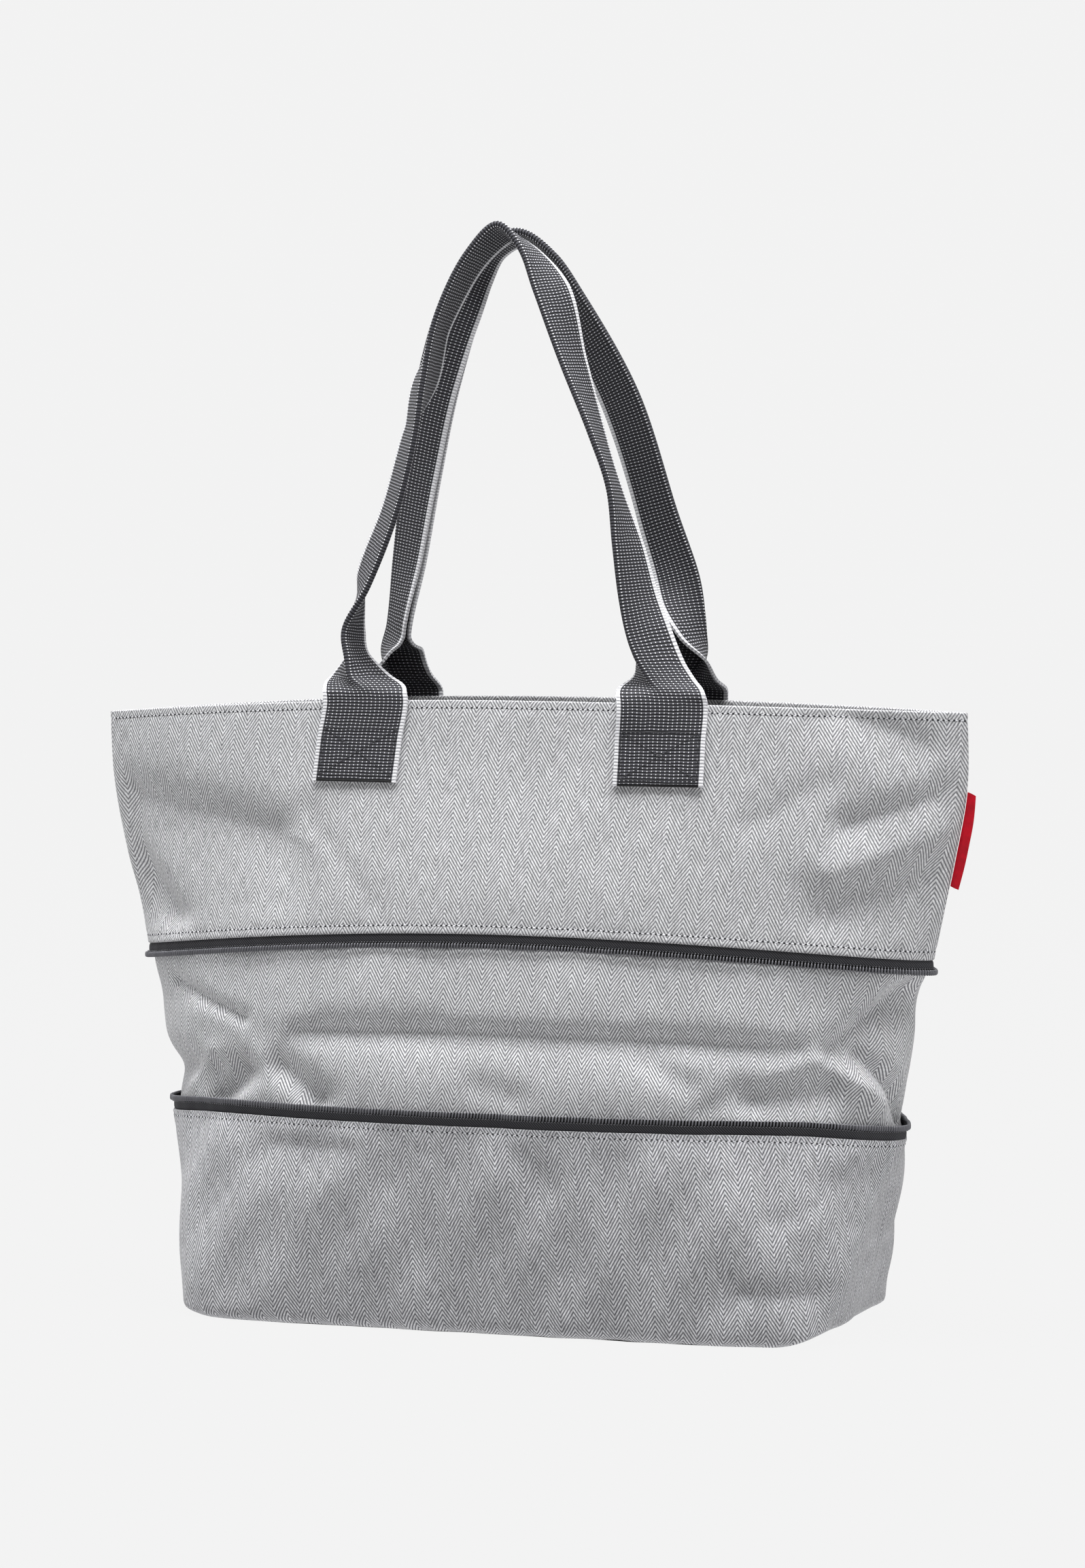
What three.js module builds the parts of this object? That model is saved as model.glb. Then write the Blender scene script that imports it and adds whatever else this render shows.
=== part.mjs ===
// Expandable shopping bag standing on its base, with its middle zip open and its two webbing handles raised.
// Millimetres, +Z up. The front faces -Y, +X is the viewer's right, and the origin is on the floor below the
// bag's middle. The cloth is a tube: an upper body, a slouched middle band between the two zip halves, and a
// boxed lower body.

import * as THREE from 'three';

// Driving dimensions
const RIM_HEIGHT = 342;
const UPPER_SEAM = 216;
const LOWER_SEAM = 112.6;
const BAND_TOP = 212;
const BAND_BOTTOM = 115.3;
const QUARTER_ROUND = 250;
const CLOTH = 1.6;
const GAP = 0.3;
const BOTTOM_SEAM_SHARE = 0.84;
const TAPE_HEIGHT = 5;
const TAPE_THICKNESS = 1.2;
const TAPE_SETBACK = 0.4;
const COIL_RADIUS = 1.9;
const WEBBING_WIDTH = 50;
const WEBBING_THICKNESS = 1.6;
const FOLDED_GAP = 0.4;
const FOLD_REACH = 1.2;
const FOLD_ROUNDING = 0.85;
const FOLD_INSIDE = 0.3;
const FOOT_DROP = 44;
const FOOT_PAST_RIM = 4;
const LABEL_HEIGHT = 48;
const LABEL_WIDTH = 4.6;
const LABEL_THICKNESS = 1.0;
const LABEL_TOP_BELOW_RIM = 40;
const LABEL_GAP = 0.6;
const SLIDER = { bodyWidth: 9, bodyHeight: 8, shoulder: 2, tabWidth: 5, tabLength: 10, depth: 2.4, drop: 2 };

// How finely the faceted solids follow the cloth
const COLUMNS_PER_SIDE = 30;
const END_CROWDING = 0.35;
const SEAM_SHARPNESS = 6;
const TRACE_STEPS = 360;
const UPPER_ROWS = 6;
const MIDDLE_ROW_HEIGHTS = [BAND_BOTTOM, 120, 130, 140, 150, 160, 172, 186, 200, BAND_TOP];
const LOWER_ROW_HEIGHTS = [2.2, 7, 24, 48, 72, 92, LOWER_SEAM];
const UNDERSIDE_SHARES = [0, 0.36, 0.72];
const COIL_SIDES = 5;
const LABEL_ROWS = 6;
const FOOT_ROWS = 2;
const STATIONS_PER_STRAP_ROW = 2;

const FRONT = -1;
const BACK = 1;

// Turns rows of numbers into records with named columns.
function table(columns, rows) {
  return rows.map((row) => Object.fromEntries(columns.map((column, index) => [column, row[index]])));
}

// Each row is the tube's outline at one height, measured at the middle of the front. frontFlatness and endFullness
// are the two powers of the rounded outline: high is boxy, and an endFullness of 1 is a pointed seam. lean moves
// the outline sideways. leftFall and rightFall lower the row toward its side seams, from the share fallFrom of the
// half length outward.
const SECTION_COLUMNS = [
  'height', 'halfLength', 'halfDepth', 'frontFlatness', 'endFullness', 'lean', 'leftFall', 'rightFall', 'fallFrom',
];
const LOWER_SECTIONS = table(SECTION_COLUMNS, [
  [0, 184.5, 75, 7.5, 7.5, 2.5, -2.5, -7, 0.86],
  [2.2, 187.8, 78.6, 7.5, 7.5, 2.5, -2.5, -7, 0.86],
  [7, 189.5, 80.6, 7, 7, 2.6, -2.5, -7, 0.86],
  [38, 196, 81.5, 5.2, 4.4, 3.8, -2, -3, 0.6],
  [72, 202.3, 81.2, 3.9, 3, 4.6, 0, -1, 0.3],
  [LOWER_SEAM, 213.3, 79, 2.7, 2, 3.9, 1, 3, 0.7],
]);
const MIDDLE_SECTIONS = table(SECTION_COLUMNS, [
  [BAND_BOTTOM, 209.9, 75.8, 2.7, 2, 3.9, 1, 3, 0.7],
  [121, 209.4, 75.2, 2.7, 1.98, 4.2, 2.5, 2.5, 0.4],
  [135, 210.5, 74, 2.75, 1.95, 5, 5, 3, 0],
  [150, 214.5, 71.4, 2.8, 1.9, 3.4, 7.2, 5.2, 0],
  [160, 216.8, 69.4, 2.8, 1.85, 2.6, 8.3, 6.3, 0],
  [172, 218.4, 69.2, 2.75, 1.78, 2.4, 10, 8, 0],
  [186, 220, 66.8, 2.7, 1.7, 2.3, 12, 9.5, 0],
  [203, 224.5, 62.8, 2.6, 1.62, 2.5, 14.6, 11.4, 0],
  [BAND_TOP, 226.2, 61.2, 2.6, 1.6, 2.5, 15.6, 12.2, 0],
]);
const UPPER_SECTIONS = table(SECTION_COLUMNS, [
  [UPPER_SEAM, 229.6, 64, 2.6, 1.6, 2.5, 16, 12.5, 0],
  [240, 234.8, 60, 2.6, 1.45, 2.6, 15, 11, 0],
  [266, 241.6, 54, 2.8, 1.3, 1.6, 14, 9, 0],
  [304, 249, 45, 3.1, 1.15, 1, 12, 7, 0],
  [RIM_HEIGHT, 250, 38, 3.2, 1, 0, 11, 4.5, 0],
]);

// Each row is one fold, dent or bulge along a straight stretch of cloth. Around runs 0 at the middle of the front,
// 1 at the right seam, 2 at the middle of the back and 3 (or -1) at the left seam. Up runs 0 to 1 over its band.
// depth is the push outward, so a valley is negative, and width is how far it spreads to each side. ease is how many
// times further it spreads on the right of its run, which is below a line from left to right.
const FOLD_COLUMNS = ['fromAround', 'fromUp', 'toAround', 'toUp', 'depth', 'width', 'ease'];
const UPPER_FOLDS = table(FOLD_COLUMNS, [
  [-0.98, 0.65, -0.53, 0.44, -6, 15, 2.2],
  [-0.96, 0.33, -0.83, 0.08, -6.5, 14, 1.5],
  [0.75, 0.53, 0.97, 0.68, -4.5, 12, 1.6],
  [0.98, 0.54, 0.73, 0.33, 3, 14, 1.6],
  [0.73, 0.18, 0.99, 0.37, -5, 15, 1.6],
  [0.72, 0.99, 0.91, 0.87, -3.5, 12, 1.5],
  [1.1, 0.62, 1.45, 0.32, -4, 20, 1],
  [2.95, 0.6, 2.6, 0.35, -4, 20, 1],
]);
const MIDDLE_FOLDS = table(FOLD_COLUMNS, [
  [-0.53, 0.46, 0.73, 0.475, -5, 8, 2],
  [-0.88, 0.78, -0.62, 0.52, -4.5, 9, 1],
  [-0.62, 0.06, -0.47, 0.05, -7, 13, 1],
  [-0.69, 0.08, -0.61, 0.34, -4, 9, 1],
  [-0.56, 0.32, -0.35, 0.1, -4, 9, 1],
  [-0.98, 0.25, -0.75, 0.26, -3.5, 11, 1],
  [0.77, 0.46, 0.95, 0.87, -8, 10, 1.8],
  [0.75, 0.43, 0.9, 0.16, 4, 8, 1],
  [0.85, 0.44, 1.03, 0.04, -5.5, 9, 1],
  [0.58, 0.05, 0.72, 0.05, -7, 13, 1],
  [0.73, 0.36, 0.57, 0.22, -5, 9, 1],
  [1.3, 0.5, 2.7, 0.47, -6, 10, 1],
  [1.08, 0.88, 1.3, 0.5, -6, 10, 1],
  [2.7, 0.46, 2.93, 0.16, 5, 10, 1],
]);
const LOWER_FOLDS = table(FOLD_COLUMNS, [
  [-0.49, 0.9, -0.34, 0.88, -2, 16, 1],
  [0.55, 0.26, 0.73, 0.23, -4, 11, 1.6],
  [0.74, 0.77, 0.88, 0.82, -2.5, 14, 1],
  [2.25, 0.68, 2.4, 0.6, -2.5, 34, 1],
]);

// A band of the tube: its outlines, its folds, and the shares over which folds fade out, at its bottom and top edges as
// shares of its height and at its side seams as a share of a quarter round.
const LOWER_BAND = {
  sections: LOWER_SECTIONS, folds: LOWER_FOLDS, bottom: 0, top: LOWER_SEAM,
  fadeBottom: 0.05, fadeTop: 0.15, fadeSeams: 0,
};
const MIDDLE_BAND = {
  sections: MIDDLE_SECTIONS, folds: MIDDLE_FOLDS, bottom: BAND_BOTTOM, top: BAND_TOP,
  fadeBottom: 0.04, fadeTop: 0.12, fadeSeams: 0,
};
const UPPER_BAND = {
  sections: UPPER_SECTIONS, folds: UPPER_FOLDS, bottom: UPPER_SEAM, top: RIM_HEIGHT,
  fadeBottom: 0.15, fadeTop: 0, fadeSeams: 0.06,
};

// Each row is a place on a handle's fold line, from its left foot to its right foot. turn is the way that the folded
// webbing points from its fold, in degrees: 0 into the loop, 90 to the back. open is 1 flat and 0 folded in half.
const HANDLE_COLUMNS = ['x', 'y', 'z', 'turn', 'open'];
const FRONT_HANDLE = table(HANDLE_COLUMNS, [
  [-91.2, -35.9, 353.6, 90, 0.47],
  [-93.8, -34.2, 364, 94, 0.15],
  [-96.4, -32, 379, 86, 0],
  [-82.5, -31.2, 403, 122, 0],
  [-66, -29.6, 444, 125, 0],
  [-56, -27.6, 486, 121, 0],
  [-52, -26, 516, 106, 0.14],
  [-45.5, -23, 551, 90, 0],
  [-29, -19.5, 586, 80, 0],
  [-12, -18, 602, 72, 0],
  [1, -18.8, 590, 88, 0],
  [11.5, -21.6, 565, 118, 0],
  [27, -25, 528, 102, 0],
  [46, -29, 487, 86, 0],
  [56.5, -29.5, 458, 84, 0],
  [60, -30.8, 428, 107, 0],
  [63.9, -31.6, 398, 125, 0],
  [68, -32.2, 379, 138, 0.08],
  [73.3, -33.7, 367, 116, 0.39],
  [82, -35.4, 354, 106, 0.61],
]);
const BACK_HANDLE = table(HANDLE_COLUMNS, [
  [-95.2, 36, 353.7, -48, 0.53],
  [-98.2, 34.2, 366, -31, 0.29],
  [-93.8, 32, 381.6, -43, 0],
  [-89, 29, 420, -28, 0],
  [-81.5, 23.5, 468, -14, 0],
  [-70, 16, 519, 2, 0],
  [-57.5, 12, 556, 26, 0],
  [-45, 10.4, 579, 52, 0],
  [-30, 9.4, 593, 72, 0],
  [-8, 9, 599, 76, 0],
  [12, 9.5, 586, 56, 0],
  [28, 11, 564, 34, 0],
  [57.5, 17.6, 510.5, 18, 0],
  [77, 26, 446, 15, 0],
  [89.4, 30.5, 407, -11, 0],
  [92.4, 32, 379, -57, 0.12],
  [91.6, 34.2, 365, -66, 0.42],
  [83.3, 36, 352, -78, 0.71],
]);

// Where the middle of each foot lies round its panel, at its lower end and at the rim.
const FRONT_FEET = { left: { bottom: -0.336, rim: -0.32 }, right: { bottom: 0.346, rim: 0.349 } };
const BACK_FEET = { left: { bottom: -0.352, rim: -0.352 }, right: { bottom: 0.31, rim: 0.306 } };
const FOOT_PROBE = 0.04;
const LEVEL_TO = 18;
const SQUARE_FROM = 45;

// Places of the columns on one side of the tube, from -1 at the left seam to 1 at the right, closer near the ends.
const COLUMNS = spread(0, 1, COLUMNS_PER_SIDE).map(
  (share) => (1 - END_CROWDING) * (2 * share - 1) + END_CROWDING * Math.sin(Math.PI * (share - 0.5))
);

function spread(start, end, steps) {
  return Array.from({ length: steps + 1 }, (_, index) => start + ((end - start) * index) / steps);
}

// Blends every column of a table's rows smoothly at one value of its key column.
function blendRows(rows, key, at) {
  const last = rows.length - 1;
  let index = 0;
  while (index < last - 1 && at > rows[index + 1][key]) {
    index += 1;
  }
  const [low, high] = [rows[index], rows[index + 1]];
  const span = high[key] - low[key];
  const t = THREE.MathUtils.clamp((at - low[key]) / span, 0, 1);
  const slope = (row, column) => {
    const before = rows[Math.max(row - 1, 0)];
    const after = rows[Math.min(row + 1, last)];
    return ((after[column] - before[column]) / (after[key] - before[key])) * span;
  };
  const blended = {};
  for (const column of Object.keys(low)) {
    const rise = high[column] - low[column];
    const start = slope(index, column);
    const end = slope(index + 1, column);
    const bend = 3 * rise - 2 * start - end;
    blended[column] = low[column] + t * (start + t * (bend + t * (start + end - 2 * rise)));
  }
  return blended;
}

// How far a row is lowered toward the side seams, where across is the share of the half length, from -1 to 1.
function fallAt(section, across) {
  const fall = across < 0 ? section.leftFall : section.rightFall;
  const past = Math.max(0, Math.abs(across) - section.fallFrom) / (1 - section.fallFrom);
  return fall * Math.min(past, 1) ** 2;
}

// The front outline of a section as points at the given shares of its length, with the outward direction at each.
function frontLine(section, seamGap, columns) {
  const trace = spread(Math.PI, 0, TRACE_STEPS).map((angle) => {
    const across = Math.sign(Math.cos(angle)) * Math.abs(Math.cos(angle)) ** (2 / section.frontFlatness);
    const deep = Math.abs(Math.sin(angle)) ** (2 / section.endFullness);
    return new THREE.Vector2(section.halfLength * across, -seamGap - (section.halfDepth - seamGap) * deep);
  });
  const lengths = [0];
  for (let step = 1; step <= TRACE_STEPS; step += 1) {
    lengths.push(lengths[step - 1] + trace[step].distanceTo(trace[step - 1]));
  }
  return columns.map((around) => {
    const wanted = (lengths[TRACE_STEPS] * (around + 1)) / 2;
    let step = 1;
    while (step < TRACE_STEPS && lengths[step] < wanted) {
      step += 1;
    }
    const share = (wanted - lengths[step - 1]) / (lengths[step] - lengths[step - 1]);
    const spot = trace[step - 1].clone().lerp(trace[step], share);
    const along = trace[step].clone().sub(trace[step - 1]).normalize();
    const atSeam = Math.abs(around) ** SEAM_SHARPNESS;
    const outward = new THREE.Vector2(along.y, -along.x * (1 - atSeam)).normalize();
    return { around, x: spot.x, y: spot.y, outX: outward.x, outY: outward.y };
  });
}

// How far the folds of a band push its cloth outward at one place.
function foldDepth(band, around, up) {
  const height = band.top - band.bottom;
  let depth = 0;
  for (const fold of band.folds) {
    const start = new THREE.Vector2(fold.fromAround * QUARTER_ROUND, fold.fromUp * height);
    const run = new THREE.Vector2(fold.toAround * QUARTER_ROUND, fold.toUp * height).sub(start);
    const turns = Math.round((around - (fold.fromAround + fold.toAround) / 2) / 4);
    const place = new THREE.Vector2((around - 4 * turns) * QUARTER_ROUND, up * height).sub(start);
    const along = THREE.MathUtils.clamp(place.dot(run) / run.lengthSq(), 0, 1);
    const aside = place.clone().addScaledVector(run, -along);
    const away = aside.length();
    const below = away > 0 ? THREE.MathUtils.clamp(aside.cross(run) / (run.length() * away), 0, 1) : 0;
    const widths = away / (fold.width * (1 + (fold.ease - 1) * below));
    depth += fold.depth * Math.exp(-widths * widths);
  }
  const fromSeam = Math.abs(THREE.MathUtils.euclideanModulo(around, 2) - 1);
  const fade = (share, reach) => (reach > 0 ? THREE.MathUtils.smoothstep(share, 0, reach) : 1);
  return depth * fade(up, band.fadeBottom) * fade(1 - up, band.fadeTop) * fade(fromSeam, band.fadeSeams);
}

// One row of cloth on the front or back of a band, from the left seam to the right.
function wallLine(band, height, side, seamGap, columns = COLUMNS) {
  const section = blendRows(band.sections, 'height', height);
  const up = (height - band.bottom) / (band.top - band.bottom);
  return frontLine(section, seamGap, columns).map((spot) => {
    const push = foldDepth(band, side === FRONT ? spot.around : 2 - spot.around, up);
    const x = spot.x + spot.outX * push;
    const y = spot.y + spot.outY * push;
    return new THREE.Vector3(x + section.lean, -side * y, height - fallAt(section, spot.x / section.halfLength));
  });
}

// A closed row right round the tube: along the front to the right, then along the back to the left.
function ringLine(band, height) {
  const back = wallLine(band, height, BACK, 0).reverse();
  return [...wallLine(band, height, FRONT, 0), ...back.slice(1, -1)];
}

function geometryFrom(points, triangles) {
  const geometry = new THREE.BufferGeometry();
  const coordinates = points.flatMap((point) => point.toArray());
  geometry.setAttribute('position', new THREE.Float32BufferAttribute(coordinates, 3));
  geometry.setIndex(triangles);
  return geometry;
}

// Makes a closed wall from rows of outer points by adding an inner face one thickness behind them.
// A ring's rows close on themselves. settle may move an inner point, so that it stays on its own side of a seam.
// The inner edges of the levelRows stay level with the outer ones, where another piece lies beside them.
function closedWall(rows, thickness, { ring = false, settle = (point) => point, levelRows = [] } = {}) {
  const width = rows[0].length;
  const outer = rows.flat();
  const cells = ring ? width : width - 1;
  const at = (column, row) => row * width + (column % width);
  const faces = [];
  for (let row = 0; row < rows.length - 1; row += 1) {
    for (let column = 0; column < cells; column += 1) {
      faces.push([at(column, row), at(column + 1, row), at(column + 1, row + 1)]);
      faces.push([at(column, row), at(column + 1, row + 1), at(column, row + 1)]);
    }
  }
  const edges = [];
  for (let column = 0; column < cells; column += 1) {
    edges.push([at(column, 0), at(column + 1, 0)]);
    edges.push([at(column + 1, rows.length - 1), at(column, rows.length - 1)]);
  }
  for (let row = 0; row < rows.length - 1 && !ring; row += 1) {
    edges.push([at(width - 1, row), at(width - 1, row + 1)]);
    edges.push([at(0, row + 1), at(0, row)]);
  }
  const sheet = geometryFrom(outer, faces.flat());
  sheet.computeVertexNormals();
  const normals = sheet.getAttribute('normal');
  const inner = outer.map((point, index) => {
    const inward = new THREE.Vector3().fromBufferAttribute(normals, index).multiplyScalar(-thickness);
    if (levelRows.includes(Math.floor(index / width))) {
      inward.setZ(0).setLength(thickness);
    }
    return settle(point.clone().add(inward));
  });
  const behind = outer.length;
  const triangles = faces.flat();
  for (const [a, b, c] of faces) {
    triangles.push(behind + a, behind + c, behind + b);
  }
  for (const [a, b] of edges) {
    triangles.push(b, a, behind + a, b, behind + a, behind + b);
  }
  return geometryFrom([...outer, ...inner], triangles);
}

// Makes a front or back panel from its rows, with its inner face kept on its own side of the seams.
function panelWall(rows, side, levelRows) {
  const facing = side === FRONT ? rows : rows.map((row) => row.reverse());
  const settle = (point) => {
    point.y = side === FRONT ? Math.min(point.y, -GAP / 2) : Math.max(point.y, GAP / 2);
    return point;
  };
  return closedWall(facing, CLOTH, { settle, levelRows });
}

// A front or back panel of the upper body, from the zip to the rim.
function upperPanel(side) {
  const heights = spread(UPPER_SEAM, RIM_HEIGHT, UPPER_ROWS);
  const rows = heights.map((height) => wallLine(UPPER_BAND, height, side, GAP / 2));
  return panelWall(rows, side, [0, rows.length - 1]);
}

// A front or back panel of the lower body, which runs from the seam under the bottom, round the bottom edge and up
// to the zip. Its underside narrows to the bottom seam, which stops short of the end walls.
function lowerPanel(side) {
  const floorSection = LOWER_SECTIONS[0];
  const floorLine = wallLine(LOWER_BAND, 0, side, GAP / 2);
  const seamY = (side * GAP) / 2;
  const underside = UNDERSIDE_SHARES.map((share) =>
    floorLine.map((edge) => {
      const reach = BOTTOM_SEAM_SHARE + (1 - BOTTOM_SEAM_SHARE) * share;
      const across = ((edge.x - floorSection.lean) / floorSection.halfLength) * reach;
      const x = floorSection.lean + across * floorSection.halfLength;
      return new THREE.Vector3(x, seamY + (edge.y - seamY) * share, -fallAt(floorSection, across));
    })
  );
  const wall = LOWER_ROW_HEIGHTS.map((height) => wallLine(LOWER_BAND, height, side, GAP / 2));
  const rows = [...underside, floorLine, ...wall];
  return panelWall(rows, side, [rows.length - 1]);
}

function middleBand() {
  const rows = MIDDLE_ROW_HEIGHTS.map((height) => ringLine(MIDDLE_BAND, height));
  return closedWall(rows, CLOTH, { ring: true, levelRows: [0, rows.length - 1] });
}

// A bar that runs right round the tube beside one of its rows. Its section is a list of places, each out from the
// cloth and up from the row, in order so that the outside runs upward.
function ringBar(band, height, section) {
  const line = ringLine(band, height);
  const count = line.length;
  const points = line.flatMap((spot, index) => {
    const along = line[(index + 1) % count].clone().sub(line[(index + count - 1) % count]);
    const outward = new THREE.Vector3(along.y, -along.x, 0).normalize();
    return section.map(({ out, up }) => {
      const corner = spot.clone().addScaledVector(outward, out);
      corner.z += up;
      return corner;
    });
  });
  const sides = section.length;
  const triangles = [];
  for (let column = 0; column < count; column += 1) {
    for (let corner = 0; corner < sides; corner += 1) {
      const here = column * sides;
      const next = ((column + 1) % count) * sides;
      const other = (corner + 1) % sides;
      triangles.push(here + corner, next + corner, next + other, here + corner, next + other, here + other);
    }
  }
  return geometryFrom(points, triangles);
}

// A zip tape stands beside the cut edge of a panel: hand is -1 below the edge and 1 above it.
function zipTape(band, height, hand) {
  const outer = -TAPE_SETBACK;
  const inner = outer - TAPE_THICKNESS;
  const low = Math.min(hand * GAP, hand * TAPE_HEIGHT);
  const high = Math.max(hand * GAP, hand * TAPE_HEIGHT);
  return ringBar(band, height, [
    { out: outer, up: low },
    { out: outer, up: high },
    { out: inner, up: high },
    { out: inner, up: low },
  ]);
}

function zipCoil(band, height, hand) {
  const centreUp = hand * (TAPE_HEIGHT + GAP + COIL_RADIUS);
  const angles = spread(0, 2 * Math.PI, COIL_SIDES).slice(0, -1);
  const section = angles.map((angle) => ({
    out: COIL_RADIUS * Math.cos(angle),
    up: centreUp + COIL_RADIUS * Math.sin(angle),
  }));
  return ringBar(band, height, section);
}

// A foot of a handle lies flat on the upper panel. These rows are its middle line, with its fold side to the bag.
function footRows(side, foot) {
  const outward = GAP + WEBBING_THICKNESS / 2;
  return spread(0, 1, FOOT_ROWS).map((share) => {
    const height = RIM_HEIGHT - FOOT_DROP * (1 - share);
    const around = THREE.MathUtils.lerp(foot.bottom, foot.rim, share);
    const places = [around - FOOT_PROBE, around, around + FOOT_PROBE];
    const [left, spot, right] = wallLine(UPPER_BAND, height, side, 0, places);
    const inward = new THREE.Vector2(side * (right.y - left.y), -side * (right.x - left.x)).normalize();
    const turn = THREE.MathUtils.radToDeg(Math.atan2(inward.y, -Math.sign(around) * inward.x));
    const x = spot.x - inward.x * outward;
    const y = spot.y - inward.y * outward;
    return { x, y, z: share === 1 ? spot.z + FOOT_PAST_RIM : spot.z, turn, open: 1 };
  });
}

// The corners of the webbing at one place on its fold line: along the outside of both its halves, then back along
// their inside.
function webbingCorners(centre, along, turn, open) {
  const inLoop = new THREE.Vector3(0, 1, 0).cross(along).normalize();
  const toBack = along.clone().cross(inLoop);
  const foldWay = inLoop.multiplyScalar(Math.cos(turn)).addScaledVector(toBack, Math.sin(turn));
  const crossWay = along.clone().cross(foldWay);
  const splay = (Math.PI / 2) * open;
  const apart = (Math.cos(splay) * (WEBBING_THICKNESS + FOLDED_GAP)) / 2;
  const outer = apart + WEBBING_THICKNESS / 2;
  const inner = apart - WEBBING_THICKNESS / 2;
  const fold = (depth) => centre.clone().addScaledVector(foldWay, depth);
  const corner = (hand, reach, offset) => {
    const alongFold = reach * Math.cos(splay) - offset * Math.sin(splay);
    const acrossFold = reach * Math.sin(splay) + offset * Math.cos(splay);
    return fold(alongFold).addScaledVector(crossWay, hand * acrossFold);
  };
  const inwards = [WEBBING_WIDTH / 2, WEBBING_WIDTH / 4, FOLD_REACH];
  const outwards = inwards.toReversed();
  const insideFold = (WEBBING_THICKNESS / 2) * Math.sin(splay) + FOLD_INSIDE * Math.cos(splay);
  return [
    ...inwards.map((reach) => corner(1, reach, outer)),
    fold(-outer * FOLD_ROUNDING),
    ...outwards.map((reach) => corner(-1, reach, outer)),
    ...inwards.map((reach) => corner(-1, reach, inner)),
    fold(insideFold),
    ...outwards.map((reach) => corner(1, reach, inner)),
  ];
}

// The way that a handle's section faces. Near the feet it lies level, further up it is square across the handle.
function sectionAxis(centre, tangent) {
  const square = THREE.MathUtils.smoothstep(centre.z - RIM_HEIGHT, LEVEL_TO, SQUARE_FROM);
  const upright = new THREE.Vector3(0, 0, Math.sign(tangent.z));
  return upright.lerp(tangent, square).normalize();
}

// A handle: webbing flat at its two feet and folded in half along its length between them.
function strap(side, feet, handle) {
  const rows = [...footRows(side, feet.left), ...handle, ...footRows(side, feet.right).reverse()];
  const curve = new THREE.CatmullRomCurve3(rows.map((row) => new THREE.Vector3(row.x, row.y, row.z)));
  const last = rows.length - 1;
  const steps = last * STATIONS_PER_STRAP_ROW;
  const points = spread(0, last, steps).flatMap((place) => {
    const before = Math.min(Math.floor(place), last - 1);
    const [from, to] = [rows[before], rows[before + 1]];
    const turn = THREE.MathUtils.degToRad(THREE.MathUtils.lerp(from.turn, to.turn, place - before));
    const open = THREE.MathUtils.lerp(from.open, to.open, place - before);
    const centre = curve.getPoint(place / last);
    const along = sectionAxis(centre, curve.getTangent(place / last));
    return webbingCorners(centre, along, turn, open);
  });
  return strapSolid(points, steps);
}

// Joins a strap's sections into one closed body. The outside of a section faces its inside across the webbing. All
// faces are cut along diagonals that run the same way from edge to fold, so that they stay apart where it twists.
function strapSolid(points, steps) {
  const sides = points.length / (steps + 1);
  const halfCells = (sides / 2 - 1) / 2;
  const triangles = [];
  for (let step = 0; step < steps; step += 1) {
    for (let corner = 0; corner < sides; corner += 1) {
      const other = (corner + 1) % sides;
      const here = step * sides;
      const next = here + sides;
      const cell = [here + corner, here + other, next + other, next + corner];
      const first = corner % (sides / 2) < halfCells ? 0 : 1;
      const [a, b, c, d] = [...cell.slice(first), ...cell.slice(0, first)];
      triangles.push(a, b, c, a, c, d);
    }
  }
  const end = steps * sides;
  for (let corner = 0; corner < sides / 2 - 1; corner += 1) {
    const facing = sides - 1 - corner;
    triangles.push(corner, facing, facing - 1, corner, facing - 1, corner + 1);
    triangles.push(end + corner, end + facing - 1, end + facing, end + corner, end + corner + 1, end + facing - 1);
  }
  return geometryFrom(points, triangles);
}

// A tab that stands out of the right side seam.
function sideLabel() {
  const top = RIM_HEIGHT - LABEL_TOP_BELOW_RIM;
  const rows = spread(top - LABEL_HEIGHT, top, LABEL_ROWS).map((height) => {
    const seam = wallLine(UPPER_BAND, height, FRONT, 0, [1])[0];
    const reaches = [LABEL_GAP, LABEL_GAP + LABEL_WIDTH];
    return reaches.map((out) => new THREE.Vector3(seam.x + out, -LABEL_THICKNESS / 2, seam.z));
  });
  return closedWall(rows, LABEL_THICKNESS);
}

// A plain slider with its pull tab, parked on the lower zip half at the middle of the back.
function zipSlider() {
  const tabHalf = SLIDER.tabWidth / 2;
  const bodyHalf = SLIDER.bodyWidth / 2;
  const outline = new THREE.Shape();
  outline.moveTo(-tabHalf, -SLIDER.tabLength);
  outline.lineTo(tabHalf, -SLIDER.tabLength);
  outline.lineTo(tabHalf, 0);
  outline.lineTo(bodyHalf, SLIDER.shoulder);
  outline.lineTo(bodyHalf, SLIDER.bodyHeight);
  outline.lineTo(-bodyHalf, SLIDER.bodyHeight);
  outline.lineTo(-bodyHalf, SLIDER.shoulder);
  outline.lineTo(-tabHalf, 0);
  outline.closePath();
  const geometry = new THREE.ExtrudeGeometry(outline, { depth: SLIDER.depth, bevelEnabled: false });
  geometry.rotateX(Math.PI / 2);
  const seat = wallLine(LOWER_BAND, LOWER_SEAM, BACK, 0, [0])[0];
  const standOff = COIL_RADIUS + GAP + SLIDER.depth;
  geometry.translate(seat.x, seat.y + standOff, seat.z + TAPE_HEIGHT - SLIDER.drop);
  return geometry;
}

const CLOTH_FINISH = { color: 0xb4b4b6, roughness: 0.9, metalness: 0 };
const WEBBING_FINISH = { color: 0x4c4c52, roughness: 0.85, metalness: 0 };
const TAPE_FINISH = { color: 0x39393c, roughness: 0.8, metalness: 0 };
const COIL_FINISH = { color: 0x1d1d1f, roughness: 0.45, metalness: 0 };
const LABEL_FINISH = { color: 0xc4001f, roughness: 0.35, metalness: 0 };
const SLIDER_FINISH = { color: 0x3a3a3c, roughness: 0.4, metalness: 0.6 };

const bag = new THREE.Group();

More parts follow.
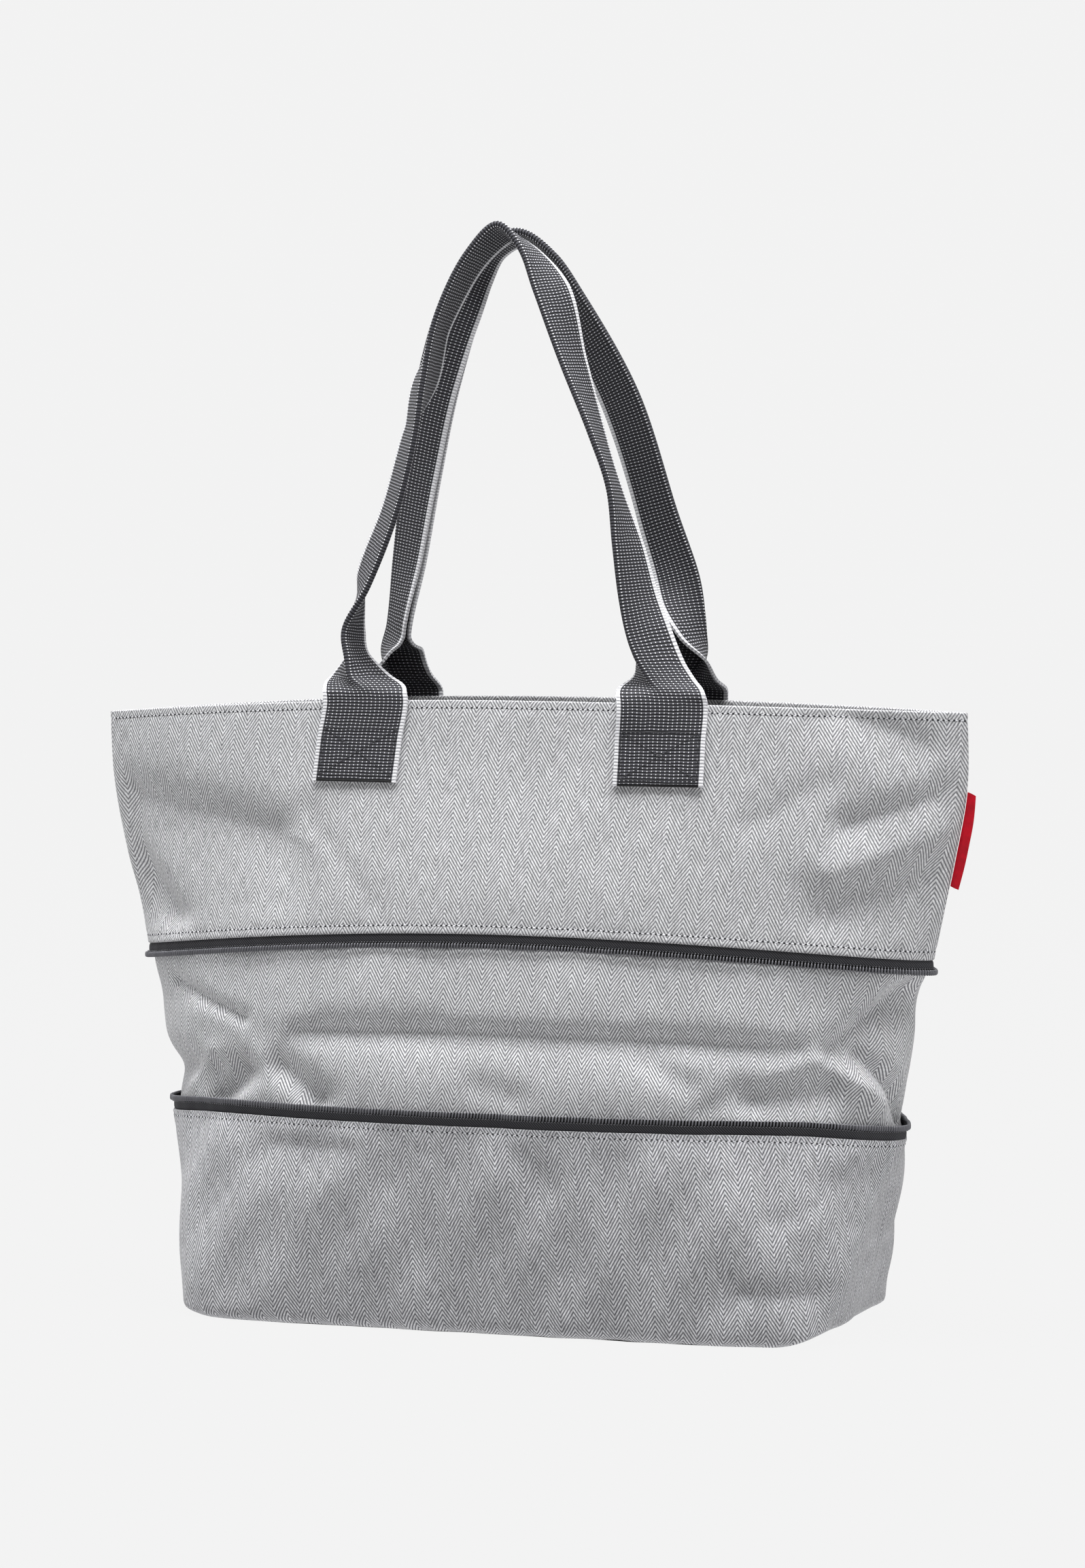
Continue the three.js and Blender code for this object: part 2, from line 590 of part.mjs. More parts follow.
function addPiece(name, geometry, finish) {
  const mesh = new THREE.Mesh(geometry, new THREE.MeshStandardMaterial(finish));
  mesh.name = name;
  bag.add(mesh);
}

addPiece('upper_front_panel', upperPanel(FRONT), CLOTH_FINISH);
addPiece('upper_back_panel', upperPanel(BACK), CLOTH_FINISH);
addPiece('upper_zip_tape', zipTape(UPPER_BAND, UPPER_SEAM, -1), TAPE_FINISH);
addPiece('upper_zip_coil', zipCoil(UPPER_BAND, UPPER_SEAM, -1), COIL_FINISH);
addPiece('middle_band', middleBand(), CLOTH_FINISH);
addPiece('lower_zip_coil', zipCoil(LOWER_BAND, LOWER_SEAM, 1), COIL_FINISH);
addPiece('lower_zip_tape', zipTape(LOWER_BAND, LOWER_SEAM, 1), TAPE_FINISH);
addPiece('lower_front_panel', lowerPanel(FRONT), CLOTH_FINISH);
addPiece('lower_back_panel', lowerPanel(BACK), CLOTH_FINISH);
addPiece('front_strap', strap(FRONT, FRONT_FEET, FRONT_HANDLE), WEBBING_FINISH);
addPiece('back_strap', strap(BACK, BACK_FEET, BACK_HANDLE), WEBBING_FINISH);
addPiece('side_label', sideLabel(), LABEL_FINISH);
addPiece('zip_slider', zipSlider(), SLIDER_FINISH);

export default bag;
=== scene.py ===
"""Dresses the frame of an expandable shopping bag with cloth, webbing, an open zip and a side label.

Lengths are in millimetres unless a name says otherwise. The front faces -Y, +X is the viewer's right and the
floor is at Z 0. Metres are made in one place each, where a mesh, a light or the camera is set.
"""

import logging
import math
from collections.abc import Callable, Iterator, Sequence
from contextlib import contextmanager
from dataclasses import dataclass, field
from enum import IntEnum
from functools import partial

import bpy
import numpy as np
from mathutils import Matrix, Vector

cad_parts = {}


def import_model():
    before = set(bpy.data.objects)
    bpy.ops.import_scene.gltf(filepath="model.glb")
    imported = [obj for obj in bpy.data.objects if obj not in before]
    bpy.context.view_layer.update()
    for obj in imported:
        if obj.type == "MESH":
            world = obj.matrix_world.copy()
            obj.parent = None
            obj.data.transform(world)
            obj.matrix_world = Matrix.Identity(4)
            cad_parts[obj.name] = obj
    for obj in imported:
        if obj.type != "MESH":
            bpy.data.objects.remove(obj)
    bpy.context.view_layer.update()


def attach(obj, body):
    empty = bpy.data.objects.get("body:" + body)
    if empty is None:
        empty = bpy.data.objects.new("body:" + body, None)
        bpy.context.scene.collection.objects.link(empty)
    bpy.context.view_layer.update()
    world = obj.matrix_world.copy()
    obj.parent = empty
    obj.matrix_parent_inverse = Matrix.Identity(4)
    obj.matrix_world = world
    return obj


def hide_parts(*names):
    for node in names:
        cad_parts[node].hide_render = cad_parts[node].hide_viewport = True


Pair = tuple[float, float]
Triple = tuple[float, float, float]
# Points and the outward direction at each.
Trace = tuple[np.ndarray, np.ndarray]
AddNode = Callable[..., bpy.types.NodeSocket | None]

LOG = logging.getLogger("bag")
MM = 0.001
# A quarter of the way round the bag, which is 1 in the fold tables.
QUARTER_ROUND = 250.0
ALL_ROUND = 4 * QUARTER_ROUND
RIM_HEIGHT = 342.0
UPPER_SEAM = 216.0
LOWER_SEAM = 112.6
BAND_TOP = 212.0
BAND_BOTTOM = 115.3
RIM_STITCH = RIM_HEIGHT - 4.2
UPPER_STITCH = UPPER_SEAM + 4.4
LOWER_STITCH = LOWER_SEAM - 3.4
# How far a panel stays from the middle plane, and how closely its outward directions turn there.
SEAM_GAP = 0.15
SEAM_SHARPNESS = 6
# Edges of a sheet that turn more than this stay sharp.
SHEET_SHARP_DEG = 60.0
# Steps in which an outline is traced before places are spaced along it.
TRACE_STEPS = 900
# A crease's rounding as a share of its width, and how fast it falls away at its sides.
CREASE_ROUNDING = 0.12
CREASE_FALL = 1.8
# How far down from the rim its drop and its flare reach at the back, and how suddenly both end at the seams.
BACK_DROP_SPAN = 45.0
BACK_FLARE_SPAN = 16.0
BACK_SEAM_SHARPNESS = 4
PHOTO_PIXELS_TALL = 2307
WEAVE_MAP = "weave"
SOFT_EDGE = {"interpolation_type": "SMOOTHSTEP"}
COLOURS = {"data_type": "RGBA"}
# Nearly all values of a noise lie in this span.
NOISE_SPAN = {"From Min": 0.3, "From Max": 0.7}


class Side(IntEnum):
    """The two sides of the bag, as the sign of their Y."""

    FRONT = -1
    BACK = 1


class Hand(IntEnum):
    """Which way a zip half hangs from its seam, as the sign of its Z."""

    BELOW = -1
    ABOVE = 1


class Edge(IntEnum):
    """Which way a cloth edge is turned in."""

    TOP = 1
    BOTTOM = -1


def srgb(code: str) -> tuple[float, float, float, float]:
    """Turns an sRGB hex colour into linear values.

    Args:
        code: six hex digits.

    Returns:
        Linear red, green and blue, and full cover.
    """
    shares = [int(code[at : at + 2], 16) / 255 for at in (0, 2, 4)]
    linear = [s / 12.92 if s <= 0.04045 else ((s + 0.055) / 1.055) ** 2.4 for s in shares]
    return (*linear, 1.0)


def add_node(
    tree: bpy.types.NodeTree,
    kind: str,
    inputs: dict | None = None,
    output: int | str = 0,
    **settings: object,
) -> bpy.types.NodeSocket | None:
    """Adds one shader node with its settings and links.

    Args:
        tree: the material's node tree.
        kind: the shader node's type.
        inputs: for each input, a socket to link from or a value to set.
        output: which output to hand back.
        settings: the node's own settings.

    Returns:
        The chosen output socket, or None for a node without outputs.
    """
    node = tree.nodes.new(f"ShaderNode{kind}")
    for name, value in settings.items():
        setattr(node, name, value)
    for key, value in (inputs or {}).items():
        if isinstance(value, bpy.types.NodeSocket):
            tree.links.new(value, node.inputs[key])
        else:
            node.inputs[key].default_value = value
    return node.outputs[output] if node.outputs else None


def new_material(name: str) -> tuple[bpy.types.Material, AddNode]:
    """Adds a material without nodes.

    Args:
        name: the real material's name.

    Returns:
        The material, and the function that adds a node to it.
    """
    material = bpy.data.materials.new(name)
    material.use_nodes = True
    material.node_tree.nodes.clear()
    return material, partial(add_node, material.node_tree)


def span(side: str, ends: Pair) -> dict[str, float]:
    """The inputs of a range node for the values that it reads, From, or gives, To."""
    return {f"{side} Min": ends[0], f"{side} Max": ends[1]}


def weave_axes(node: AddNode) -> tuple[bpy.types.NodeSocket, ...]:
    """Reads the flat cloth's coordinates.

    Args:
        node: the function that adds a node to the material.

    Returns:
        The place on the cloth, how far it lies across and how far up.
    """
    place = node("UVMap", uv_map=WEAVE_MAP)
    return place, *(node("SeparateXYZ", {0: place}, axis) for axis in "XY")


def end_surface(
    node: AddNode, looks: dict, height: bpy.types.NodeSocket, strength: float, depth: float
) -> None:
    """Ends a material with its relief, its shader and its output.

    Args:
        node: the function that adds a node to the material.
        looks: the shader's inputs.
        height: how far the surface stands out.
        strength: how strongly the relief shows.
        depth: how deep the relief is.
    """
    bump = node("Bump", {"Height": height, "Strength": strength, "Distance": depth * MM})
    shader = node("BsdfPrincipled", {**looks, "Normal": bump})
    node("OutputMaterial", {"Surface": shader})


def smooth_step(value: np.ndarray | float, low: float, high: float) -> np.ndarray | float:
    """Rises smoothly from 0 at low to 1 at high.

    Args:
        value: where to read it.
        low: the start of the rise.
        high: the end of the rise.

    Returns:
        The height of the rise at each value.
    """
    share = np.clip((value - low) / (high - low), 0, 1)
    return share * share * (3 - 2 * share)


def blend_table(table: np.ndarray, at: float) -> np.ndarray:
    """Blends the rows of a table smoothly at one value of its first column.

    Args:
        table: rows in rising order of their first column.
        at: the value wanted.

    Returns:
        The blended row.
    """
    keys = table[:, 0]
    index = int(np.clip(np.searchsorted(keys, at) - 1, 0, len(keys) - 2))
    step = keys[index + 1] - keys[index]
    t = float(np.clip((at - keys[index]) / step, 0, 1))

    def slope(row: int) -> np.ndarray:
        """The table's slope at one row, over one step."""
        before, after = table[max(row - 1, 0)], table[min(row + 1, len(keys) - 1)]
        return (after - before) / (after[0] - before[0]) * step

    low, rise = table[index], table[index + 1] - table[index]
    start, end = slope(index), slope(index + 1)
    return low + t * (start + t * (3 * rise - 2 * start - end + t * (start + end - 2 * rise)))


def unit(vectors: np.ndarray) -> np.ndarray:
    """Scales vectors to length one."""
    return vectors / np.linalg.norm(vectors, axis=-1, keepdims=True)


def running_total(steps: np.ndarray) -> np.ndarray:
    """Adds steps up, from zero."""
    return np.concatenate([[0.0], np.cumsum(steps)])


def run_along(path: np.ndarray) -> np.ndarray:
    """How far along a path each of its points lies."""
    return running_total(np.linalg.norm(np.diff(path, axis=0), axis=1))


@dataclass(frozen=True)
class Fold:
    """A fold, dent or bulge along a straight stretch of cloth.

    Around runs 0 at the middle of the front, 1 at the right seam, 2 at the middle of the back and -1 at the
    left seam. Up runs 0 to 1 over the band. depth is the push outward, width its spread, and crease how sharp
    its line is. ease is how many times further it spreads on the right of its run, which is below a line from
    left to right.
    """

    from_around: float
    from_up: float
    to_around: float
    to_up: float
    depth: float
    width: float
    crease: float = 0.0
    ease: float = 1.0

    def push(self, around: np.ndarray, up: float, height: float) -> np.ndarray:
        """How far the fold pushes the cloth outward along one row.

        Args:
            around: places round the band.
            up: the row's place up the band.
            height: the band's height.

        Returns:
            The push at each place.
        """
        middle = (self.from_around + self.to_around) / 2
        near = around - 4 * np.round((around - middle) / 4)
        run_x = (self.to_around - self.from_around) * QUARTER_ROUND
        run_y = (self.to_up - self.from_up) * height
        place_x = (near - self.from_around) * QUARTER_ROUND
        place_y = (up - self.from_up) * height
        along = np.clip((place_x * run_x + place_y * run_y) / (run_x**2 + run_y**2), 0, 1)
        aside_x = place_x - along * run_x
        aside_y = place_y - along * run_y
        away = np.hypot(aside_x, aside_y)
        across = (run_y * aside_x - run_x * aside_y) / (math.hypot(run_x, run_y) * np.maximum(away, 1e-9))
        width = self.width * (1 + (self.ease - 1) * np.clip(across, 0, 1))
        rounding = CREASE_ROUNDING * self.width
        soft = np.exp(-((away / width) ** 2))
        sharp = np.exp(-CREASE_FALL * (np.hypot(away, rounding) - rounding) / width)
        return self.depth * ((1 - self.crease) * soft + self.crease * sharp)


@dataclass(frozen=True)
class Ripple:
    """Slight unevenness of cloth, as a sum of slow waves from a fixed seed."""

    seed: int
    depth: float
    shortest: float = 45.0
    longest: float = 150.0
    most_slant: float = 1.2
    waves: int = 10

    def push(self, around: np.ndarray, height: float) -> np.ndarray:
        """How far the cloth stands out along one row.

        Args:
            around: places round the bag.
            height: the row's height.

        Returns:
            The push at each place.
        """
        draw = np.random.default_rng(self.seed)
        lengths = draw.uniform(self.shortest, self.longest, self.waves)
        slants = draw.uniform(-self.most_slant, self.most_slant, self.waves)
        starts = draw.uniform(0, 2 * math.pi, self.waves)
        total = np.zeros_like(around)
        for length, slant, start in zip(lengths, slants, starts):
            rounds = np.round(ALL_ROUND * math.cos(slant) / length)
            sideways = around / 4 * rounds * 2 * math.pi
            upward = height * math.sin(slant) / length * 2 * math.pi
            total += np.sin(sideways + upward + start)
        return self.depth * total / math.sqrt(self.waves)


@dataclass(frozen=True)
class Pucker:
    """The small waves that a sewn row draws up in the cloth beside it."""

    height: float
    depth: float = 0.3
    reach: float = 7.0
    length: float = 13.0
    groove: float = 0.35
    groove_width: float = 0.9
    slow_drift: Pair = (1.9, 31.0)
    quick_drift: Pair = (1.3, 17.3)

    def push(self, around: np.ndarray, height: float) -> np.ndarray:
        """How far the cloth stands out along one row.

        Args:
            around: places round the bag.
            height: the row's height.

        Returns:
            The push at each place.
        """
        away = abs(height - self.height)
        place = around * QUARTER_ROUND
        slow, slow_length = self.slow_drift
        quick, quick_length = self.quick_drift
        drift = slow * np.sin(place / slow_length) + quick * np.sin(place / quick_length + self.height)
        wave = np.sin(2 * math.pi * place / self.length + drift)
        groove = self.groove * math.exp(-((away / self.groove_width) ** 2))
        return self.depth * wave * math.exp(-away / self.reach) - groove


@dataclass(frozen=True)
class Band:
    """One band of the bag's tube: its outlines from bottom to top, and the folds of its cloth.

    Each outline row has the height, half length, half depth, front flatness, end fullness, lean, left fall,
    right fall and the share of the half length from which the row falls. back_drop is how much lower the top
    hangs at the back, and back_flare how far it leans out there.
    """

    sections: tuple[tuple[float, ...], ...]
    folds: tuple[Fold, ...]
    fade_bottom: float
    fade_top: float
    fade_seams: float = 0.0
    back_drop: float = 0.0
    back_flare: float = 0.0
    relief: tuple[Ripple | Pucker, ...] = ()

    @property
    def bottom(self) -> float:
        """The height of the lowest outline."""
        return self.sections[0][0]

    @property
    def top(self) -> float:
        """The height of the highest outline."""
        return self.sections[-1][0]

    def outward_push(self, around: np.ndarray, height: float) -> np.ndarray:
        """How far folds and relief push one row outward.

        Args:
            around: places round the bag.
            height: the row's height.

        Returns:
            The push at each place.
        """
        tall = self.top - self.bottom
        up = (height - self.bottom) / tall
        push = sum((fold.push(around, up, tall) for fold in self.folds), np.zeros_like(around))
        from_seam = np.abs(np.mod(around, 2) - 1)
        for away, fade in ((up, self.fade_bottom), (1 - up, self.fade_top), (from_seam, self.fade_seams)):
            if fade > 0:
                push = push * smooth_step(away, 0, fade)
        return push + sum((part.push(around, height) for part in self.relief), np.zeros_like(around))

    def row(self, height: float, around: np.ndarray, side: Side, gap: float = 0.0) -> Trace:
        """One row of cloth on the front or the back, from the left seam to the right.

        Args:
            height: the row's height at the middle of the side.
            around: places from -1 at the left seam to 1 at the right.
            side: the front or the back.
            gap: how far the row stops from the middle plane at the seams.

        Returns:
            The row's points and its level outward directions.
        """
        outline = blend_table(np.array(self.sections), height)
        _, length, depth, flatness, fullness, lean, left_fall, right_fall, fall_from = outline
        share = np.linspace(0, 1, TRACE_STEPS + 1)
        angle = math.pi * (1 - smooth_step(share, 0, 1))
        across = np.sign(np.cos(angle)) * np.abs(np.cos(angle)) ** (2 / flatness)
        trace_x = length * across
        trace_y = -gap - (depth - gap) * np.abs(np.sin(angle)) ** (2 / fullness)
        run = running_total(np.hypot(np.diff(trace_x), np.diff(trace_y)))
        wanted = run[-1] * (around + 1) / 2
        x = np.interp(wanted, run, trace_x)
        y = np.interp(wanted, run, trace_y)
        along_x = np.interp(wanted, run, np.gradient(trace_x, run))
        along_y = np.interp(wanted, run, np.gradient(trace_y, run))
        out = unit(np.stack([along_y, -along_x * (1 - np.abs(around) ** SEAM_SHARPNESS)], axis=-1))
        push = self.outward_push(around if side is Side.FRONT else 2 - around, height)
        past = np.clip((np.abs(x / length) - fall_from) / (1 - fall_from), 0, 1)
        fall = np.where(x < 0, left_fall, right_fall) * past**2
        if side is Side.BACK:
            off_seam = 1 - np.abs(around) ** BACK_SEAM_SHARPNESS
            below = self.top - height
            fall = fall + self.back_drop * off_seam * max(0.0, 1 - below / BACK_DROP_SPAN)
            push = push + self.back_flare * off_seam * max(0.0, 1 - below / BACK_FLARE_SPAN) ** 2
        places = [x + out[:, 0] * push + lean, -side * (y + out[:, 1] * push), height - fall]
        outward = [out[:, 0], -side * out[:, 1], np.zeros_like(x)]
        return np.stack(places, axis=-1), np.stack(outward, axis=-1)

    def ring(self, height: float, per_side: int) -> Trace:
        """A closed row right round the bag, along the front to the right and along the back to the left.

        Args:
            height: the row's height at the middle of each side.
            per_side: the number of steps along each side.

        Returns:
            The row's points and its level outward directions, with the first point again at the end.
        """
        around = np.linspace(-1, 1, per_side + 1)
        front, front_out = self.row(height, around, Side.FRONT)
        back, back_out = self.row(height, around[::-1], Side.BACK)
        return np.concatenate([front, back[1:]]), np.concatenate([front_out, back_out[1:]])


UPPER_BAND = Band(
    sections=(
        (UPPER_SEAM, 229.6, 64, 2.6, 1.6, 2.5, 16, 12.5, 0),
        (240, 234.8, 60, 2.6, 1.45, 2.6, 15, 11, 0),
        (266, 241.6, 54, 2.8, 1.3, 1.6, 14, 9, 0),
        (304, 249, 45, 3.1, 1.15, 1, 12, 7, 0),
        (RIM_HEIGHT, 250, 38, 3.2, 1, 0, 11, 4.5, 0),
    ),
    folds=(
        Fold(-0.98, 0.65, -0.53, 0.44, -6.5, 13, 0.4, 2.6),
        Fold(-0.45, 0.54, -0.3, 0.12, -1, 7, 0.3),
        Fold(-0.96, 0.33, -0.83, 0.08, -7.5, 12, 0.3, 1.6),
        Fold(0.75, 0.53, 0.97, 0.68, -5.5, 8, 0.5, 2.2),
        Fold(0.98, 0.54, 0.73, 0.33, 3.5, 11, 0.2, 2),
        Fold(0.73, 0.18, 0.99, 0.37, -5, 13, 0.4, 1.6),
        Fold(0.72, 0.99, 0.91, 0.87, -3.5, 8, 0.3, 2),
        Fold(0.54, 0.49, 0.71, 0.7, -1.2, 9, 0.3),
        Fold(1.1, 0.62, 1.45, 0.32, -4, 20, 0.3),
        Fold(2.95, 0.6, 2.6, 0.35, -4, 20, 0.3),
    ),
    fade_bottom=0.15,
    fade_top=0,
    fade_seams=0.06,
    back_drop=0.8,
    back_flare=2.4,
    relief=(Ripple(11, 0.22), Pucker(UPPER_STITCH), Pucker(RIM_STITCH, depth=0.15)),
)

MIDDLE_BAND = Band(
    sections=(
        (BAND_BOTTOM, 209.9, 75.8, 2.7, 2, 3.9, 5, 6.5, 0.7),
        (121, 209.4, 75.2, 2.7, 1.98, 4.2, 5, 6, 0.6),
        (135, 210.5, 74, 2.75, 1.95, 5, 5, 3, 0),
        (150, 214.5, 71.4, 2.8, 1.9, 3.4, 7.2, 5.2, 0),
        (160, 216.8, 69.4, 2.8, 1.85, 2.6, 8.3, 6.3, 0),
        (172, 218.4, 69.2, 2.75, 1.78, 2.4, 10, 8, 0),
        (186, 220, 67.4, 2.7, 1.7, 2.3, 12, 9.5, 0),
        (203, 224.5, 64.2, 2.6, 1.62, 2.5, 14.6, 11.4, 0),
        (BAND_TOP, 226.2, 61.2, 2.6, 1.6, 2.5, 15.6, 12.2, 0),
    ),
    folds=(
        Fold(-0.48, 0.485, 0.7, 0.495, -3.2, 5.5, 0.35, 2.2),
        Fold(-0.42, 0.52, -0.14, 0.52, -1.4, 9),
        Fold(0.36, 0.51, 0.6, 0.5, -1.2, 8),
        Fold(-0.86, 0.8, -0.63, 0.56, -3.8, 5, 0.5),
        Fold(-0.63, 0.24, -0.71, 0.05, -6.5, 8, 0.2, 1.5),
        Fold(-0.43, 0.07, -0.53, 0.27, -6, 8, 0.2, 1.5),
        Fold(-0.73, 0.36, -0.83, 0.14, 2.2, 6, 0.4),
        Fold(-0.98, 0.25, -0.75, 0.26, -3.5, 11),
        Fold(0.77, 0.46, 0.95, 0.87, -8, 9, 0.4, 1.8),
        Fold(0.75, 0.43, 0.9, 0.16, 4.2, 8, 0.3),
        Fold(0.85, 0.44, 1.03, 0.04, -6, 7, 0.4),
        Fold(0.77, 0.22, 0.6, 0.18, -6, 10, 0.15, 1.1),
        Fold(0.59, 0.25, 0.72, 0.42, 1, 6, 0.3),
        Fold(0.57, 0.22, 0.49, 0.1, -1.5, 7),
        Fold(0.36, 0.37, 0.46, 0.24, -2, 8),
        Fold(-0.04, 0.2, 0.06, 0.14, -1.5, 8),
        Fold(1.3, 0.5, 2.7, 0.47, -6, 9, 0.6),
        Fold(1.08, 0.88, 1.3, 0.5, -6, 9, 0.6),
        Fold(2.7, 0.46, 2.93, 0.16, 5, 9, 0.5),
    ),
    fade_bottom=0.04,
    fade_top=0.12,
    relief=(Ripple(23, 0.5), Pucker(BAND_TOP, groove=0.0), Pucker(BAND_BOTTOM, groove=0.0)),
)

LOWER_BAND = Band(
    sections=(
        (0, 184.5, 75, 7.5, 7.5, 2.5, -2.5, -7, 0.86),
        (2.2, 187.8, 78.6, 7.5, 7.5, 2.5, -2.5, -7, 0.86),
        (7, 189.5, 80.6, 7, 7, 2.6, -2.5, -7, 0.86),
        (38, 196, 81.5, 5.2, 4.4, 3.8, -2, -3, 0.6),
        (72, 202.3, 81.2, 3.9, 3, 4.6, 0, -1, 0.3),
        (LOWER_SEAM, 213.3, 79, 2.7, 2, 3.9, 5, 6.5, 0.7),
    ),
    folds=(
        Fold(-0.52, 0.87, -0.33, 0.85, -2.8, 9, 0.2, 2),
        Fold(-0.97, 0.04, -0.86, 0.16, 1.6, 6, 0.3),
        Fold(-0.52, 0.71, -0.35, 0.76, 0.8, 16),
        Fold(0.08, 0.86, 0.13, 0.74, -2, 10),
        Fold(0.55, 0.26, 0.73, 0.23, -4, 9, 0.6, 1.6),
        Fold(0.64, 0.58, 0.73, 0.66, -1.5, 8, 0.3),
        Fold(0.74, 0.77, 0.88, 0.82, -2.5, 12, 0.2),
        Fold(2.25, 0.68, 2.4, 0.6, -2.5, 34),
    ),
    fade_bottom=0.05,
    fade_top=0.15,
    relief=(Ripple(37, 1.0, shortest=32, longest=110), Pucker(LOWER_STITCH)),
)


def deselect_all() -> None:
    """Leaves nothing selected, so that an operator acts on the new piece alone."""
    bpy.ops.object.select_all(action="DESELECT")


@contextmanager
def editing_all() -> Iterator[None]:
    """Opens the active piece for editing with all of it selected, and closes it afterwards."""
    bpy.ops.object.mode_set(mode="EDIT")
    bpy.ops.mesh.select_all(action="SELECT")
    yield
    bpy.ops.object.mode_set(mode="OBJECT")


def read_places(mesh: bpy.types.Mesh) -> np.ndarray:
    """Reads where each point of a mesh lies, in its own metres.

    Args:
        mesh: the mesh.

    Returns:
        A row of three for each point.
    """
    places = np.empty(len(mesh.vertices) * 3, np.float32)
    mesh.vertices.foreach_get("co", places)
    return places.reshape(-1, 3)


def write_places(mesh: bpy.types.Mesh, places: np.ndarray) -> None:
    """Moves each point of a mesh, in its own metres."""
    mesh.vertices.foreach_set("co", places.astype(np.float32).ravel())
    mesh.update()


def grid_sheet(name: str, points: np.ndarray, weave: np.ndarray, ring: bool = False) -> bpy.types.Object:
    """Lays a grid over rows of places, with the cloth's own coordinates as its UV map.

    Args:
        name: the piece's name.
        points: rows of places, upward and to the right as seen from outside.
        weave: for each place, how far it lies across and up the flat cloth.
        ring: whether the last column closes on the first.

    Returns:
        The sheet, one face thick.
    """
    rows, columns = points.shape[:2]
    deselect_all()
    bpy.ops.mesh.primitive_grid_add(x_subdivisions=columns - 1, y_subdivisions=rows - 1, size=2)
    piece = bpy.context.object
    piece.name = piece.data.name = name
    mesh = piece.data
    flat = (read_places(mesh) + 1) / 2
    column = np.rint(flat[:, 0] * (columns - 1)).astype(int)
    row = np.rint(flat[:, 1] * (rows - 1)).astype(int)
    write_places(mesh, points[row, column] * MM)
    corners = np.empty(len(mesh.loops), np.int32)
    mesh.loops.foreach_get("vertex_index", corners)
    layer = mesh.uv_layers.active
    layer.name = WEAVE_MAP
    layer.uv.foreach_set("vector", (weave[row, column][corners] * MM).astype(np.float32).ravel())
    mesh.update()
    if ring:
        with editing_all():
            bpy.ops.mesh.remove_doubles(threshold=1e-6)
    return piece


def smooth_faces(piece: bpy.types.Object, sharp_deg: float) -> None:
    """Shades a piece smoothly.

    Args:
        piece: the piece.
        sharp_deg: edges that turn more than this stay sharp.
    """
    deselect_all()
    piece.select_set(True)
    bpy.context.view_layer.objects.active = piece
    bpy.ops.object.shade_smooth_by_angle(angle=math.radians(sharp_deg))


def thicken(piece: bpy.types.Object, thickness: float, offset: float = -1.0) -> None:
    """Gives a sheet its thickness and smooth shading.

    Args:
        piece: the sheet.
        thickness: how thick it is.
        offset: -1 adds it all behind the sheet, 0 half on each side.
    """
    modifier = piece.modifiers.new("thickness", "SOLIDIFY")
    modifier.thickness = thickness * MM
    modifier.offset = offset
    bpy.context.view_layer.objects.active = piece
    bpy.ops.object.modifier_apply(modifier=modifier.name)
    smooth_faces(piece, SHEET_SHARP_DEG)


def keep_to_side(piece: bpy.types.Object, side: Side, least: float) -> None:
    """Keeps a panel on its own side of the bag's middle plane, where its inner face meets the other panel's.

    Args:
        piece: the panel.
        side: the front or the back.
        least: how far it stays from the middle plane.
    """
    places = read_places(piece.data)
    places[:, 1] = side * np.maximum(side * places[:, 1], least * MM)
    write_places(piece.data, places)


def weave_places(points: np.ndarray, across: np.ndarray) -> np.ndarray:
    """The flat cloth's coordinates of rows of places.

    Args:
        points: rows of places.
        across: how far each column lies across the flat cloth.

    Returns:
        For each place, how far it lies across and up the flat cloth.
    """
    up = running_total(np.linalg.norm(np.diff(points, axis=0), axis=-1).mean(axis=1))
    return np.stack(np.meshgrid(across, up), axis=-1)


@dataclass(frozen=True)
class SmallShape:
    """A small shape that is modelled once and copied many times, as its corners and faces."""

    corners: np.ndarray
    faces: tuple[tuple[int, ...], ...]

    @classmethod
    def bead(cls, size: Triple, squareness: float) -> "SmallShape":
        """Models a stitch, a tooth or a bead from a sphere.

        Args:
            size: its length, width and height.
            squareness: below 1 fills out its ends and sides.

        Returns:
            The shape about its own middle.
        """
        deselect_all()
        bpy.ops.mesh.primitive_uv_sphere_add(segments=8, ring_count=5, radius=1)
        model = bpy.context.object
        with editing_all():
            bpy.ops.transform.rotate(value=math.pi / 2, orient_axis="Y", center_override=(0, 0, 0))
        places = read_places(model.data).astype(float)
        places = np.sign(places) * np.abs(places) ** squareness * np.array(size) / 2
        faces = tuple(tuple(face.vertices) for face in model.data.polygons)
        bpy.data.objects.remove(model)
        return cls(places, faces)

    def copies(self, name: str, spots: np.ndarray, along: np.ndarray, out: np.ndarray) -> bpy.types.Object:
        """Makes one piece from a copy of the shape at each spot.

        Args:
            name: the piece's name.
            spots: the middle of each copy.
            along: the way each copy's length runs.
            out: the way each copy's top faces.

        Returns:
            The piece.
        """
        along = unit(along)
        aside = unit(np.cross(out, along))
        upward = np.cross(along, aside)
        axes = np.stack([along, aside, upward], axis=1)
        places = (spots[:, None, :] + np.einsum("vk,nkc->nvc", self.corners, axes)) * MM
        starts = range(0, len(self.corners) * len(spots), len(self.corners))
        faces = [[start + corner for corner in face] for start in starts for face in self.faces]
        mesh = bpy.data.meshes.new(name)
        mesh.from_pydata(places.reshape(-1, 3).tolist(), [], faces)
        mesh.shade_smooth()
        piece = bpy.data.objects.new(name, mesh)
        bpy.context.collection.objects.link(piece)
        return piece


